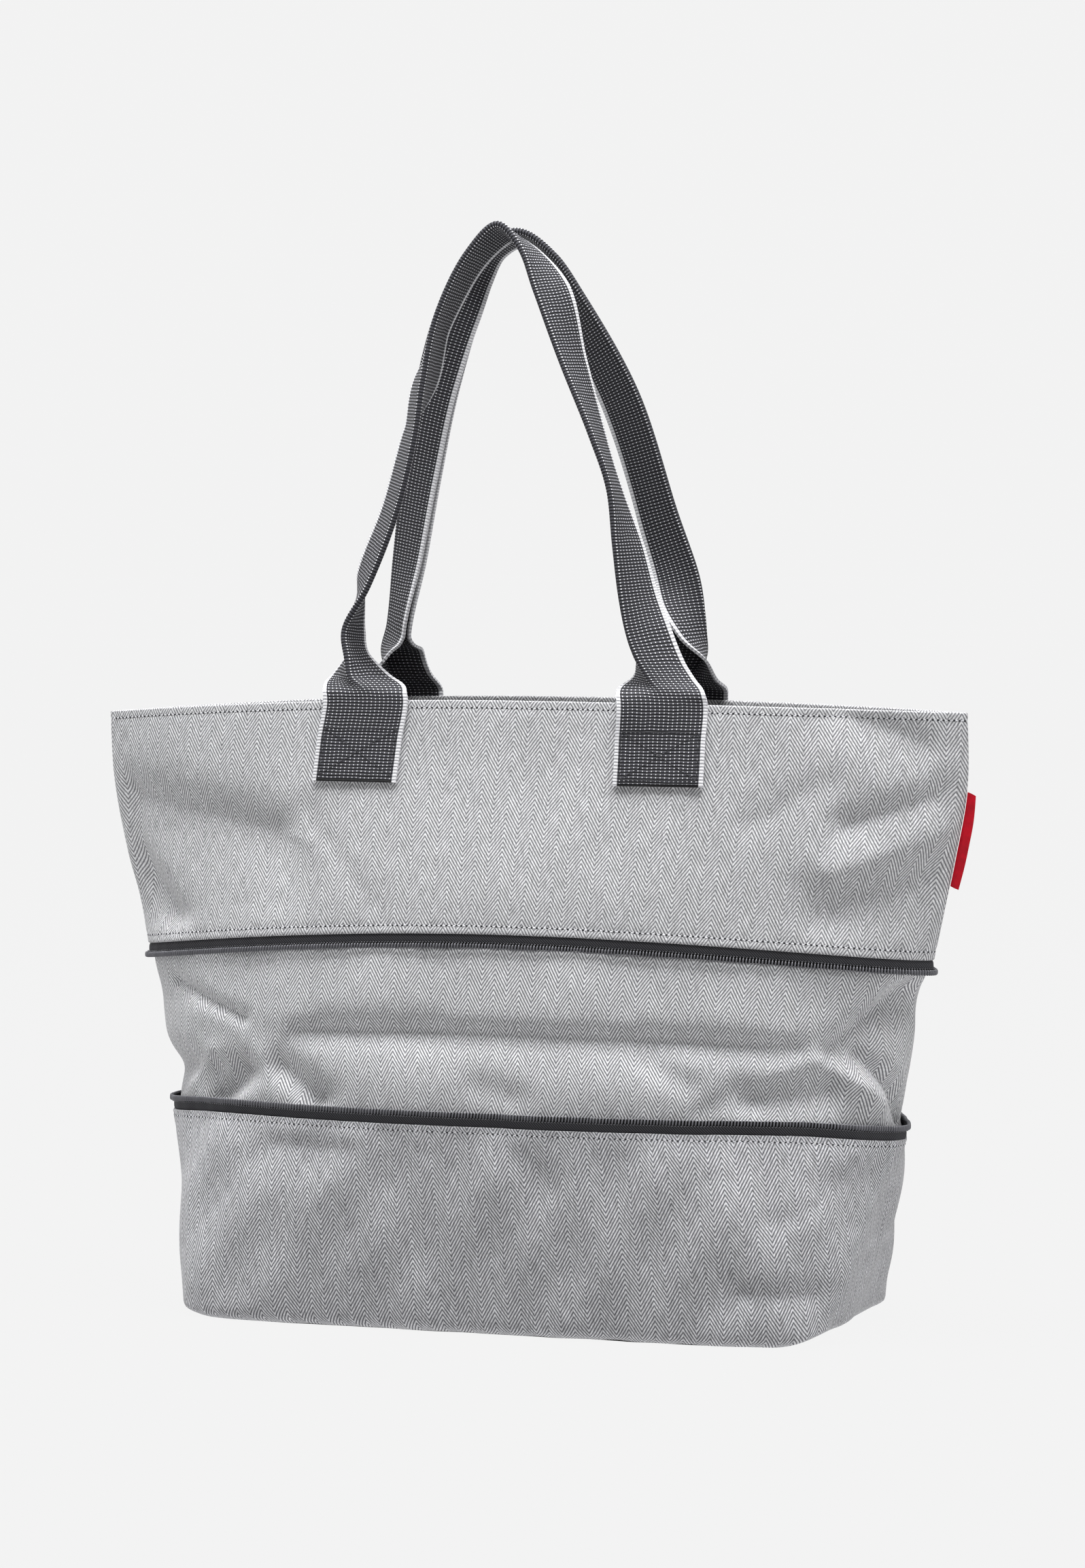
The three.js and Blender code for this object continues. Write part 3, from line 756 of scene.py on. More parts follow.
def spaced(
    path: np.ndarray, out: np.ndarray, pitch: float, shift: float = 0.0
) -> tuple[np.ndarray, np.ndarray, np.ndarray]:
    """Places spots at even spacing along a path.

    Args:
        path: the path's points.
        out: the outward direction at each point.
        pitch: the spacing wanted, which is stretched a little to fit.
        shift: the share of the spacing by which all spots move along.

    Returns:
        The spots, the way the path runs at each, and the outward direction at each.
    """
    run = run_along(path)
    count = max(2, int(round(run[-1] / pitch)))
    wanted = (np.arange(count) + 0.5 + shift) * run[-1] / count
    heading = np.gradient(path, run, axis=0)
    spots, along, facing = (
        np.stack([np.interp(wanted, run, part[:, axis]) for axis in range(3)], axis=-1)
        for part in (path, heading, out)
    )
    return spots, along, unit(facing)


@dataclass(frozen=True)
class HerringboneCloth:
    """Woven polyester herringbone in light grey: matt, with crisp pale and grey lines that form chevrons.

    The lines lie 1.3 mm apart, which is too fine to show in a small picture, so coarser draws them further
    apart. The chevrons keep their true width. slant is how far the weave leans sideways for each millimetre
    up, and slub how much lighter or darker its uneven yarns are than the rest.
    """

    name: str
    slant: float
    pale: str
    grey: str
    slub: float
    chevron: float = 15.0
    across_repeat: float = 1.56
    up_repeat: float = 2.42
    coarser: float = 1.12
    thread_edge: Pair = (0.13, 0.33)
    patch_size: float = 28.0
    patch_tone: Pair = (0.95, 1.03)
    fuzz_size: float = 1.1
    fuzz_tone: Pair = (0.8, 1.12)
    fuzz_relief: float = 0.35
    slub_size: float = 0.95
    slub_stretch: Triple = (1, 0.11, 1)

    def material(self) -> bpy.types.Material:
        """Builds the cloth's nodes."""
        material, node = new_material(self.name)
        place, across, up = weave_axes(node)
        leaned = node("Math", {0: up, 1: -self.slant, 2: across}, operation="MULTIPLY_ADD")
        column = node("Math", {0: leaned, 1: self.chevron / 2 * MM}, operation="PINGPONG")
        rise = node("Math", {0: up, 1: self.up_repeat * self.coarser * MM}, operation="DIVIDE")
        rate = 1 / (self.across_repeat * self.coarser * MM)
        phase = node("Math", {0: column, 1: rate, 2: rise}, operation="MULTIPLY_ADD")
        line = node("Math", {0: phase, 1: 0.5}, operation="PINGPONG")
        thread = node("MapRange", {"Value": line, **span("From", self.thread_edge)}, **SOFT_EDGE)
        fuzz = node("TexNoise", {"Vector": place, "Scale": 1 / (self.fuzz_size * MM), "Detail": 1.0}, "Fac")
        worn = node("TexNoise", {"Vector": place, "Scale": 1 / (self.patch_size * MM), "Detail": 2.0}, "Fac")
        drawn = node("VectorMath", {0: place, 1: self.slub_stretch}, operation="MULTIPLY")
        yarn = node("TexNoise", {"Vector": drawn, "Scale": 1 / (self.slub_size * MM), "Detail": 1.0}, "Fac")
        tone = node("MapRange", {"Value": worn, **NOISE_SPAN, **span("To", self.patch_tone)})
        fleck = node("MapRange", {"Value": fuzz, **NOISE_SPAN, **span("To", self.fuzz_tone)})
        streak = node("MapRange", {"Value": yarn, **NOISE_SPAN, **span("To", (1 - self.slub, 1 + self.slub))})
        flecked = node("Math", {0: fleck, 1: streak}, operation="MULTIPLY")
        shade = node("Math", {0: tone, 1: flecked}, operation="MULTIPLY")
        tones = {"A": srgb(self.grey), "B": srgb(self.pale)}
        woven = node("Mix", {"Factor": thread, **tones}, "Result", **COLOURS)
        colour = node("VectorMath", {0: woven, "Scale": shade}, operation="SCALE")
        relief = node("Math", {0: fuzz, 1: self.fuzz_relief, 2: thread}, operation="MULTIPLY_ADD")
        looks = {"Base Color": colour, "Roughness": 0.88, "Sheen Weight": 0.12, "Sheen Roughness": 0.5}
        end_surface(node, looks, relief, strength=0.35, depth=0.25)
        return material


@dataclass(frozen=True)
class RibbedWebbing:
    """Woven polypropylene webbing: charcoal ribs, rows of pale dots, dark gaps and bright corded selvedges.

    The pale dots are 0.6 mm across in truth and are drawn larger, so that they show.
    """

    name: str
    length: float
    rib: str = "46464c"
    gap: str = "0d0d0f"
    dot: str = "e2e2e6"
    selvedge: str = "d8d8db"
    selvedge_gap: str = "a6a6aa"
    # Painted shade: the near-black colour of both ends, where the webbing turns under.
    turned: str = "0c0c0e"
    rib_pitch: float = 1.76
    rib_edge: Pair = (0.1, 0.32)
    rib_wander: float = 0.9
    wander_size: float = 9.0
    dot_pitch: float = 2.5
    dot_across: Pair = (0.34, 0.44)
    dot_along: Pair = (0.27, 0.42)
    dot_relief: float = 0.5
    half_width: float = 25.0
    selvedge_width: float = 2.5
    selvedge_blur: float = 0.4
    selvedge_relief: float = 0.8
    end_shade_reach: float = 1.5
    end_shade_blur: float = 0.3

    def material(self) -> bpy.types.Material:
        """Builds the webbing's nodes."""
        material, node = new_material(self.name)
        place, across, along = weave_axes(node)
        rate = 1 / (self.wander_size * MM)
        wander = node("TexNoise", {"Vector": place, "Scale": rate, "Detail": 1.0}, "Fac")
        uneven = node("Math", {0: wander, 1: self.rib_wander * MM, 2: along}, operation="MULTIPLY_ADD")
        ribs = node("Math", {0: uneven, 1: 1 / (self.rib_pitch * MM)}, operation="MULTIPLY")
        wave = node("Math", {0: ribs, 1: 0.5}, operation="PINGPONG")
        rib = node("MapRange", {"Value": wave, **span("From", self.rib_edge)}, **SOFT_EDGE)
        columns = node("Math", {0: across, 1: 1 / (self.dot_pitch * MM)}, operation="MULTIPLY")
        cross = node("Math", {0: columns, 1: 0.5}, operation="PINGPONG")
        spot_across = node("MapRange", {"Value": cross, **span("From", self.dot_across)}, **SOFT_EDGE)
        spot_along = node("MapRange", {"Value": wave, **span("From", self.dot_along)}, **SOFT_EDGE)
        spot = node("Math", {0: spot_across, 1: spot_along}, operation="MULTIPLY")
        from_middle = node("Math", {0: across}, operation="ABSOLUTE")
        inner = (self.half_width - self.selvedge_width) * MM
        rim = (inner, inner + self.selvedge_blur * MM)
        edge = node("MapRange", {"Value": from_middle, **span("From", rim)}, **SOFT_EDGE)
        ground = node("Mix", {"Factor": rib, "A": srgb(self.gap), "B": srgb(self.rib)}, "Result", **COLOURS)
        dotted = node("Mix", {"Factor": spot, "A": ground, "B": srgb(self.dot)}, "Result", **COLOURS)
        # Painted shade: the last stretch of each end, where the webbing turns under, goes near black.
        from_end = node("Math", {0: along, 1: self.length / 2 * MM}, operation="PINGPONG")
        fold = ((self.end_shade_reach - self.end_shade_blur) * MM, self.end_shade_reach * MM)
        off_end_shade = node("MapRange", {"Value": from_end, **span("From", fold)}, **SOFT_EDGE)
        face = node("Mix", {"Factor": off_end_shade, "A": srgb(self.turned), "B": dotted}, "Result", **COLOURS)
        cords = {"A": srgb(self.selvedge_gap), "B": srgb(self.selvedge)}
        cord = node("Mix", {"Factor": rib, **cords}, "Result", **COLOURS)
        colour = node("Mix", {"Factor": edge, "A": face, "B": cord}, "Result", **COLOURS)
        raised = node("Math", {0: spot, 1: self.dot_relief, 2: rib}, operation="MULTIPLY_ADD")
        relief = node("Math", {0: edge, 1: self.selvedge_relief, 2: raised}, operation="MULTIPLY_ADD")
        looks = {"Base Color": colour, "Roughness": 0.72, "Specular IOR Level": 0.2, "Sheen Weight": 0.06}
        end_surface(node, looks, relief, strength=0.6, depth=0.4)
        return material


@dataclass(frozen=True)
class ZipTwill:
    """Woven polyester zip tape: charcoal with a fine diagonal twill, drawn at twice its true pitch to show.

    bed is the stretch of tape under the teeth, painted near black there as painted shade between the teeth.
    """

    name: str
    bed: Pair
    light: str = "47474b"
    dark: str = "222224"
    bed_painted_shade: str = "070708"
    bed_blur: float = 0.2
    pitch: float = 1.5
    thread_edge: Pair = (0.1, 0.4)

    def material(self) -> bpy.types.Material:
        """Builds the tape's nodes."""
        material, node = new_material(self.name)
        _, across, up = weave_axes(node)
        slant = node("Math", {0: across, 1: up}, operation="ADD")
        phase = node("Math", {0: slant, 1: self.pitch * MM}, operation="DIVIDE")
        line = node("Math", {0: phase, 1: 0.5}, operation="PINGPONG")
        thread = node("MapRange", {"Value": line, **span("From", self.thread_edge)}, **SOFT_EDGE)
        tones = {"A": srgb(self.dark), "B": srgb(self.light)}
        twill = node("Mix", {"Factor": thread, **tones}, "Result", **COLOURS)
        # Painted shade: the tape goes near black under the teeth, in the gaps between them.
        low, high = self.bed
        from_bed = node("Math", {0: up, 1: (low + high) / 2 * MM}, operation="SUBTRACT")
        off_middle = node("Math", {0: from_bed}, operation="ABSOLUTE")
        rim = ((high - low) / 2 * MM, ((high - low) / 2 + self.bed_blur) * MM)
        off_bed = node("MapRange", {"Value": off_middle, **span("From", rim)})
        colour = node("Mix", {"Factor": off_bed, "A": srgb(self.bed_painted_shade), "B": twill}, "Result", **COLOURS)
        looks = {"Base Color": colour, "Roughness": 0.8, "Specular IOR Level": 0.2}
        end_surface(node, looks, thread, strength=0.4, depth=0.2)
        return material


@dataclass(frozen=True)
class PlainFinish:
    """A finish of one colour with slight unevenness, such as nylon, thread, glossy print or enamel."""

    name: str
    colour: str
    roughness: float
    uneven: float = 0.08
    grain: float = 3.0
    metallic: float = 0.0
    specular: float = 0.5
    coat: float = 0.0
    coat_roughness: float = 0.1
    relief: float = 0.05

    def material(self) -> bpy.types.Material:
        """Builds the finish's nodes."""
        material, node = new_material(self.name)
        place = node("TexCoord", output="Object")
        noise = node("TexNoise", {"Vector": place, "Scale": 1 / (self.grain * MM), "Detail": 2.0}, "Fac")
        tones = span("To", (1 - self.uneven, 1 + self.uneven))
        tone = node("MapRange", {"Value": noise, **NOISE_SPAN, **tones})
        looks = {
            "Base Color": node("VectorMath", {0: srgb(self.colour)[:3], "Scale": tone}, operation="SCALE"),
            "Roughness": node("Math", {0: tone, 1: self.roughness}, operation="MULTIPLY", use_clamp=True),
            "Metallic": self.metallic,
            "Specular IOR Level": self.specular,
            "Coat Weight": self.coat,
            "Coat Roughness": self.coat_roughness,
        }
        end_surface(node, looks, noise, strength=0.3, depth=self.relief)
        return material


# Nylon monofilament, moulded round and slightly glossy: grey strands with small highlights.
# The black nylon is painted mid grey, as a painted highlight on every strand.
COIL_NYLON_PAINTED_HIGHLIGHT = PlainFinish("moulded_nylon_coil", "626267", 0.4)
# Spun polyester thread: matt and pale, close to the cloth's pale yarn.
PALE_THREAD = PlainFinish("spun_polyester_thread_pale", "cfcfd3", 0.8)
# Spun polyester thread: matt mid grey, which shows only as a faint dotted line on the tape.
GREY_THREAD = PlainFinish("spun_polyester_thread_grey", "6e6e72", 0.8)
# Spun polyester thread: matt and dark, which sinks between the webbing's ribs.
# Its beads in the needle holes beside the pale stitches are painted shade.
DARK_THREAD_AND_HOLE_SHADE = PlainFinish("spun_polyester_thread_dark", "26262a", 0.8)
# Printed vinyl ribbon: deep red under a thin clear coat, with soft highlights along its fold.
RED_VINYL = PlainFinish(
    "glossy_printed_vinyl", "b4001c", 0.35, uneven=0.15, specular=0.12, coat=0.12, relief=0.5
)
# Zinc casting under dark enamel: smooth, with soft highlights at its rounded edges.
DARK_ENAMEL = PlainFinish("enamelled_zinc_casting", "3c3c40", 0.38, metallic=0.3, coat=0.3)
# Painted shadow under the bag: backdrop paper, matt and nearly black.
PAINTED_SHADOW_PAPER = PlainFinish("painted_shadow_backdrop_paper", "1c1c1c", 0.9)


def dress(piece: bpy.types.Object, material: bpy.types.Material, slot: str, *nodes: str) -> None:
    """Gives a piece its material and its body, hides the solids that it stands for, and logs it.

    Args:
        piece: the finished piece.
        material: its material.
        slot: the frame's slot for it; not used.
        nodes: the solids that it stands for.
    """
    piece.data.materials.clear()
    piece.data.materials.append(material)
    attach(piece, "root")
    if nodes:
        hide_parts(*nodes)
    triangles = sum(len(face.vertices) - 2 for face in piece.data.polygons)
    LOG.info("%s: %d triangles", piece.name, triangles)


@dataclass(frozen=True)
class TurnedEdge:
    """The folded edge of a cloth panel: the cloth's thickness, and the radius and the steps of its turn."""

    cloth: float = 0.8
    radius: float = 0.9
    steps: int = 6

    def rows(self, edge: Edge, height: float, tuck: float, tuck_rows: int) -> list[Triple]:
        """The rows of a turned edge, in upward order along the cloth.

        Args:
            edge: the top or the bottom edge.
            height: the height of the edge itself.
            tuck: how far the cloth runs back inside.
            tuck_rows: rows of the part inside.

        Returns:
            For each row, the wall's height, how far in from the wall and how far above that height it lies.
        """
        base = height - edge * self.radius
        turn = [
            (base, self.radius * (1 - math.cos(angle)), edge * self.radius * math.sin(angle))
            for angle in np.linspace(0, math.pi, self.steps + 1)
        ]
        reaches = np.linspace(0, tuck, tuck_rows + 1)[1:]
        rows = turn + [(base - edge * reach, 2 * self.radius, 0.0) for reach in reaches]
        return rows if edge is Edge.TOP else rows[::-1]


@dataclass
class ClothPanel:
    """One side of the upper or the lower body: its band, columns and turned edges."""

    level: str
    band: Band
    side: Side
    columns: int = 250
    even_share: float = 0.75
    row_pitch: float = 1.9
    seam_tuck: float = 2.0
    lip: float = 5.0
    lip_rows: int = 3
    edge: TurnedEdge = field(default_factory=TurnedEdge)

    @property
    def around(self) -> np.ndarray:
        """The columns' places round the panel, closer together towards the seams."""
        share = np.linspace(-1, 1, self.columns + 1)
        return self.even_share * share + (1 - self.even_share) * np.sin(share * math.pi / 2)

    def between(self, low: float, high: float) -> np.ndarray:
        """The heights of the rows between two others."""
        return np.linspace(low, high, int((high - low) / self.row_pitch) + 1)[1:-1]

    def wall_rows(self, rows: Sequence[Triple]) -> np.ndarray:
        """Rows of the panel's cloth, with both side edges turned into the seams.

        Args:
            rows: for each row, the wall's height, how far in and how far above that height it lies.

        Returns:
            Rows of points from the left seam to the right.
        """
        lines = []
        tuck = np.array([self.seam_tuck, 0, 0])
        for height, inset, lift in rows:
            points, out = self.band.row(height, self.around, self.side, SEAM_GAP)
            points = points - out * inset + np.array([0, 0, lift])
            lines.append(np.concatenate([points[:1] + tuck, points, points[-1:] - tuck]))
        return np.array(lines)

    def build(self, points: np.ndarray, cloth: bpy.types.Material, cut: Pair) -> None:
        """Builds and dresses the panel from its rows.

        Args:
            points: rows of points from the left seam to the right.
            cloth: its material.
            cut: its flat size in metres; not used.
        """
        node = f"{self.level}_{self.side.name.lower()}_panel"
        inner = self.around * QUARTER_ROUND
        across = np.concatenate([[inner[0] - self.seam_tuck], inner, [inner[-1] + self.seam_tuck]])
        weave = weave_places(points, across)
        if self.side is Side.BACK:
            points, weave = points[:, ::-1], weave[:, ::-1]
        piece = grid_sheet(f"{node}_cloth", points, weave)
        thicken(piece, self.edge.cloth)
        keep_to_side(piece, self.side, SEAM_GAP)
        dress(piece, cloth, "cloth", node)


@dataclass
class UpperBody:
    """The upper front and back panels, each with a turned hem at the rim and a turned lip at the zip."""

    hem: float = 18.0
    hem_rows: int = 8
    cut: Pair = (0.5, 0.153)

    def build(self) -> None:
        """Builds and dresses both panels."""
        cloth = HerringboneCloth("woven_polyester_herringbone_upper", 0.049, "cfcfd1", "757579", slub=0.2)
        material = cloth.material()
        for side in Side:
            panel = ClothPanel("upper", UPPER_BAND, side)
            lip = panel.edge.rows(Edge.BOTTOM, UPPER_SEAM, panel.lip, panel.lip_rows)
            hem = panel.edge.rows(Edge.TOP, RIM_HEIGHT, self.hem, self.hem_rows)
            wall = [(height, 0.0, 0.0) for height in panel.between(lip[-1][0], hem[0][0])]
            panel.build(panel.wall_rows([*lip, *wall, *hem]), material, self.cut)


@dataclass
class LowerBody:
    """The lower front and back panels, which run from the seam under the bottom up to the zip."""

    bottom_seam_share: float = 0.84
    underside_rows: int = 24
    edge_heights: tuple[float, ...] = (0, 0.5, 1.2, 2.2, 3.4, 5, 7, 9, 11)
    cut: Pair = (0.49, 0.19)

    def underside(self, panel: ClothPanel) -> np.ndarray:
        """Rows of the panel's underside, from the bottom seam out to the bottom edge.

        Args:
            panel: the panel that it belongs to.

        Returns:
            Rows of points, without the bottom edge itself.
        """
        edge = panel.wall_rows([(0.0, 0.0, 0.0)])[0]
        _, length, _, _, _, lean, left_fall, right_fall, fall_from = LOWER_BAND.sections[0]
        seam_y = panel.side * SEAM_GAP
        rows = []
        for share in np.linspace(0, 1, self.underside_rows + 1)[:-1]:
            reach = self.bottom_seam_share + (1 - self.bottom_seam_share) * share
            across = (edge[:, 0] - lean) / length * reach
            past = np.clip((np.abs(across) - fall_from) / (1 - fall_from), 0, 1)
            fall = np.where(across < 0, left_fall, right_fall) * past**2
            y = seam_y + (edge[:, 1] - seam_y) * share
            rows.append(np.stack([lean + across * length, y, -fall], axis=-1))
        return np.array(rows)

    def build(self) -> None:
        """Builds and dresses both panels."""
        # Painted shade: the same cloth as the upper panels, painted darker on the lower body.
        cloth = HerringboneCloth("woven_polyester_herringbone_lower", -0.108, "c9c9cc", "65656a", slub=0.24)
        material = cloth.material()
        for side in Side:
            panel = ClothPanel("lower", LOWER_BAND, side)
            lip = panel.edge.rows(Edge.TOP, LOWER_SEAM, panel.lip, panel.lip_rows)
            heights = [*self.edge_heights, *panel.between(self.edge_heights[-1], lip[0][0])]
            wall = panel.wall_rows([*((height, 0.0, 0.0) for height in heights), *lip])
            panel.build(np.concatenate([self.underside(panel), wall]), material, self.cut)


@dataclass
class MiddleBody:
    """The slouched band of cloth between the zip halves, tucked behind both tapes."""

    per_side: int = 250
    row_pitch: float = 1.5
    tuck: float = 4.5
    thickness: float = 0.8
    cut: Pair = (0.93, 0.12)

    def build(self) -> None:
        """Builds and dresses the band."""
        low, high = BAND_BOTTOM - self.tuck, BAND_TOP + self.tuck
        heights = np.linspace(low, high, int((high - low) / self.row_pitch) + 1)
        points = np.array([MIDDLE_BAND.ring(height, self.per_side)[0] for height in heights])
        across = np.linspace(-QUARTER_ROUND, 3 * QUARTER_ROUND, 2 * self.per_side + 1)
        piece = grid_sheet("middle_band_cloth", points, weave_places(points, across), ring=True)
        thicken(piece, self.thickness)
        # Painted light: the same cloth as the other panels, its pale yarn painted lighter on the middle band.
        cloth = HerringboneCloth("woven_polyester_herringbone_middle", 0.02, "d6d6d8", "707075", slub=0.16)
        dress(piece, cloth.material(), "cloth", "middle_band")


@dataclass
class ZipHalf:
    """One half of the open zip, right round the bag: a tape with a row of teeth along its free edge.

    Each row of the tape has how far it lies from the seam and how far in from the cloth's line.
    """

    level: str
    band: Band
    height: float
    hand: Hand
    per_side: int = 260
    tape_thickness: float = 0.7
    tape_width_m: float = 0.0135
    measured_row: int = 3
    tape_rows: tuple[Pair, ...] = (
        (-5.0, 2.3), (-2.0, 2.2), (-0.6, 1.8), (0.4, 1.1), (1.4, 0.7), (3.0, 0.6), (4.6, 0.7), (7.4, 0.9),
    )
    bed_width: float = 2.7
    bed_past: float = 1.0
    tooth_pitch: float = 1.75
    tooth_size: Triple = (3.3, 0.95, 2.4)
    tooth_squareness: float = 0.75
    tooth_centre: float = 6.5
    tooth_out: float = 0.6
    tooth_slant: float = 0.16
    dot_size: Triple = (0.8, 0.45, 0.4)
    dot_centre: float = 4.5
    dot_out: float = 0.1
    end_push: float = 0.3
    end_from: float = 0.9

    def ring(self, up: float, inset: float) -> Trace:
        """A closed row beside the seam.

        Args:
            up: how far from the seam, on the side that the half hangs to.
            inset: how far in from the cloth's line.

        Returns:
            The row's points and outward directions.
        """
        points, _ = self.band.ring(self.height, self.per_side)
        heading = np.roll(points[:-1], -1, axis=0) - np.roll(points[:-1], 1, axis=0)
        heading = np.concatenate([heading, heading[:1]])
        out = unit(np.stack([heading[:, 1], -heading[:, 0], np.zeros(len(heading))], axis=-1))
        place = np.linspace(-1, 3, len(points))
        near_seam = 1 - np.minimum(np.abs(place - 1), np.minimum(place + 1, 3 - place))
        proud = self.end_push * smooth_step(near_seam, self.end_from, 1.0)
        shifted = points - out * (inset - proud)[:, None] + np.array([0, 0, self.hand * up])
        return shifted, out

    def build(self) -> None:
        """Builds and dresses the tape, its teeth and the sewn dots beside them."""
        order = self.tape_rows if self.hand is Hand.ABOVE else self.tape_rows[::-1]
        points = np.array([self.ring(up, inset)[0] for up, inset in order])
        across = np.linspace(0, ALL_ROUND, 2 * self.per_side + 1)
        weave = weave_places(points, across)
        tape = grid_sheet(f"{self.level}_zip_tape_weave", points, weave, ring=True)
        thicken(tape, self.tape_thickness)
        tall = float(weave[-1, 0, 1])
        bed = (-self.bed_past, self.bed_width)
        if self.hand is Hand.ABOVE:
            bed = (tall - self.bed_width, tall + self.bed_past)
        twill = ZipTwill(f"woven_polyester_zip_tape_{self.level}", bed)
        dress(tape, twill.material(), "zip_tape", f"{self.level}_zip_tape")

        path, out = self.ring(self.tooth_centre, -self.tooth_out)
        spots, along, facing = spaced(path, out, self.tooth_pitch)
        upright = unit(np.array([0, 0, 1.0]) + self.tooth_slant * unit(along))
        tooth = SmallShape.bead(self.tooth_size, self.tooth_squareness)
        teeth = tooth.copies(f"{self.level}_zip_teeth", spots, upright, facing)
        dress(teeth, COIL_NYLON_PAINTED_HIGHLIGHT.material(), "zip_coil", f"{self.level}_zip_coil")

        dots = StitchRow(f"{self.level}_zip_stitches", "zip_tape", self.tooth_pitch, self.dot_size, 1.0)
        dots.build([self.ring(self.dot_centre, -self.dot_out)], GREY_THREAD.material())


@dataclass(frozen=True)
class StitchRow:
    """A row of stitches right round the bag or along a path."""

    name: str
    slot: str
    pitch: float = 2.9
    size: Triple = (2.1, 0.7, 0.6)
    squareness: float = 0.8
    shift: float = 0.0

    def build(self, paths: Sequence[Trace], thread: bpy.types.Material) -> None:
        """Sews the row along some paths.

        Args:
            paths: each path's points and outward directions.
            thread: the thread's material.
        """
        parts = [spaced(path, out, self.pitch, self.shift) for path, out in paths]
        spots, along, out = (np.concatenate(part) for part in zip(*parts))
        piece = SmallShape.bead(self.size, self.squareness).copies(self.name, spots, along, out)
        dress(piece, thread, self.slot)


@dataclass(frozen=True)
class Foot:
    """Where the middle of a handle's foot lies round its panel, at its lower end and at the rim."""

    bottom: float
    rim: float


@dataclass
class Handle:
    """A webbing handle, flat at its two sewn feet and folded in half along its length between them.

    Each row is a place on the fold line: x, y, z, the way that the folded webbing points from its fold, in
    degrees, 0 into the loop and 90 to the back, and how open the fold is, 1 flat and 0 folded in half.
    """

    name: str
    side: Side
    left: Foot
    right: Foot
    rows: tuple[tuple[float, ...], ...]
    width: float = 50.0
    thickness: float = 1.5
    level_span: Pair = (18.0, 45.0)
    fold_reach: float = 1.57
    least_open: float = 0.02
    foot_drop: float = 44.0
    foot_past_rim: float = 4.0
    foot_lift: float = 1.15
    foot_steps: int = 2
    stations_per_row: int = 14
    columns: int = 40
    column_spread: Pair = (0.55, 0.45)
    fine_steps: int = 1200
    probe: float = 0.04
    stitch_height: float = 26.0
    stitch_margin: float = 3.6
    stitch_lift: float = 0.05
    seam_points: int = 40

    def foot_rows(self, foot: Foot) -> list[tuple[float, ...]]:
        """The rows of a foot, which lies flat on the upper panel.

        Args:
            foot: where it lies.

        Returns:
            Rows from its lower end to just past the rim.
        """
        rows = []
        for share in np.linspace(0, 1, self.foot_steps + 1):
            height = RIM_HEIGHT - self.foot_drop * (1 - share)
            around = foot.bottom + (foot.rim - foot.bottom) * share
            places = np.array([around - self.probe, around, around + self.probe])
            left, spot, right = UPPER_BAND.row(height, places, self.side)[0]
            inward = unit(np.array([self.side * (right[1] - left[1]), -self.side * (right[0] - left[0])]))
            turn = math.degrees(math.atan2(inward[1], -math.copysign(1, around) * inward[0]))
            x, y = spot[:2] - inward * self.foot_lift
            z = spot[2] + (self.foot_past_rim if share == 1 else 0)
            rows.append((x, y, z, turn, 1.0))
        return rows

    def line(self) -> np.ndarray:
        """The fold line at close stations, with turn and opening.

        Returns:
            For each station x, y, z, turn and opening.
        """
        table = np.array([*self.foot_rows(self.left), *self.rows, *self.foot_rows(self.right)[::-1]])
        table = np.concatenate([[2 * table[0] - table[1]], table, [2 * table[-1] - table[-2]]])
        gaps = np.linalg.norm(np.diff(table[:, :3], axis=0), axis=1) ** 0.5
        stations = []
        for index in range(1, len(table) - 2):
            before, start, end, after = table[index - 1 : index + 3]
            gap_0, gap_1, gap_2 = gaps[index - 1 : index + 2]
            rate = (end - start) / gap_1
            leave = ((start - before) / gap_0 - (end - before) / (gap_0 + gap_1) + rate) * gap_1
            arrive = (rate - (after - start) / (gap_1 + gap_2) + (after - end) / gap_2) * gap_1
            bend = -3 * start + 3 * end - 2 * leave - arrive
            twist = 2 * start - 2 * end + leave + arrive
            for t in np.arange(self.stations_per_row) / self.stations_per_row:
                stations.append(start + t * (leave + t * (bend + t * twist)))
        stations.append(table[-2])
        return np.array(stations)

    def sheet_points(self) -> tuple[np.ndarray, np.ndarray]:
        """The webbing's middle surface.

        Returns:
            Its points from station to station, and its flat coordinates.
        """
        line = self.line()
        spots = line[:, :3]
        turn = np.radians(line[:, 3])[:, None]
        splay = math.pi / 2 * np.clip(line[:, 4], self.least_open, 1)
        run = run_along(spots)
        along = unit(np.gradient(spots, run, axis=0))
        square = smooth_step(spots[:, 2:] - RIM_HEIGHT, *self.level_span)
        upright = np.sign(along[:, 2:]) * np.array([0, 0, 1.0])
        along = unit(upright + (along - upright) * square)
        in_loop = unit(np.cross(np.array([0, 1.0, 0]), along))
        to_back = np.cross(along, in_loop)
        fold_way = in_loop * np.cos(turn) + to_back * np.sin(turn)
        cross_way = np.cross(along, fold_way)
        half = self.columns // 2
        share = np.linspace(0, 1, half + 1)
        even, growing = self.column_spread
        reach = self.width / 2 * (even * share + growing * share**2)
        fine = np.linspace(0, self.width / 2, self.fine_steps + 1)
        step = fine[1] - fine[0]
        points = np.empty((len(spots), 2 * half + 1, 3))
        for station in range(len(spots)):
            lean = (math.pi / 2 - splay[station]) * np.minimum(fine / self.fold_reach, 1)
            middle = (lean[1:] + lean[:-1]) / 2
            across = np.interp(reach, fine, running_total(np.cos(middle)) * step)
            inward = np.interp(reach, fine, running_total(np.sin(middle)) * step)
            wing = spots[station] + inward[:, None] * fold_way[station]
            points[station, half:] = wing + across[:, None] * cross_way[station]
            points[station, :half] = (wing - across[:, None] * cross_way[station])[:0:-1]
        flat_across = np.concatenate([-reach[:0:-1], reach])
        return points, np.stack(np.meshgrid(flat_across, run), axis=-1)

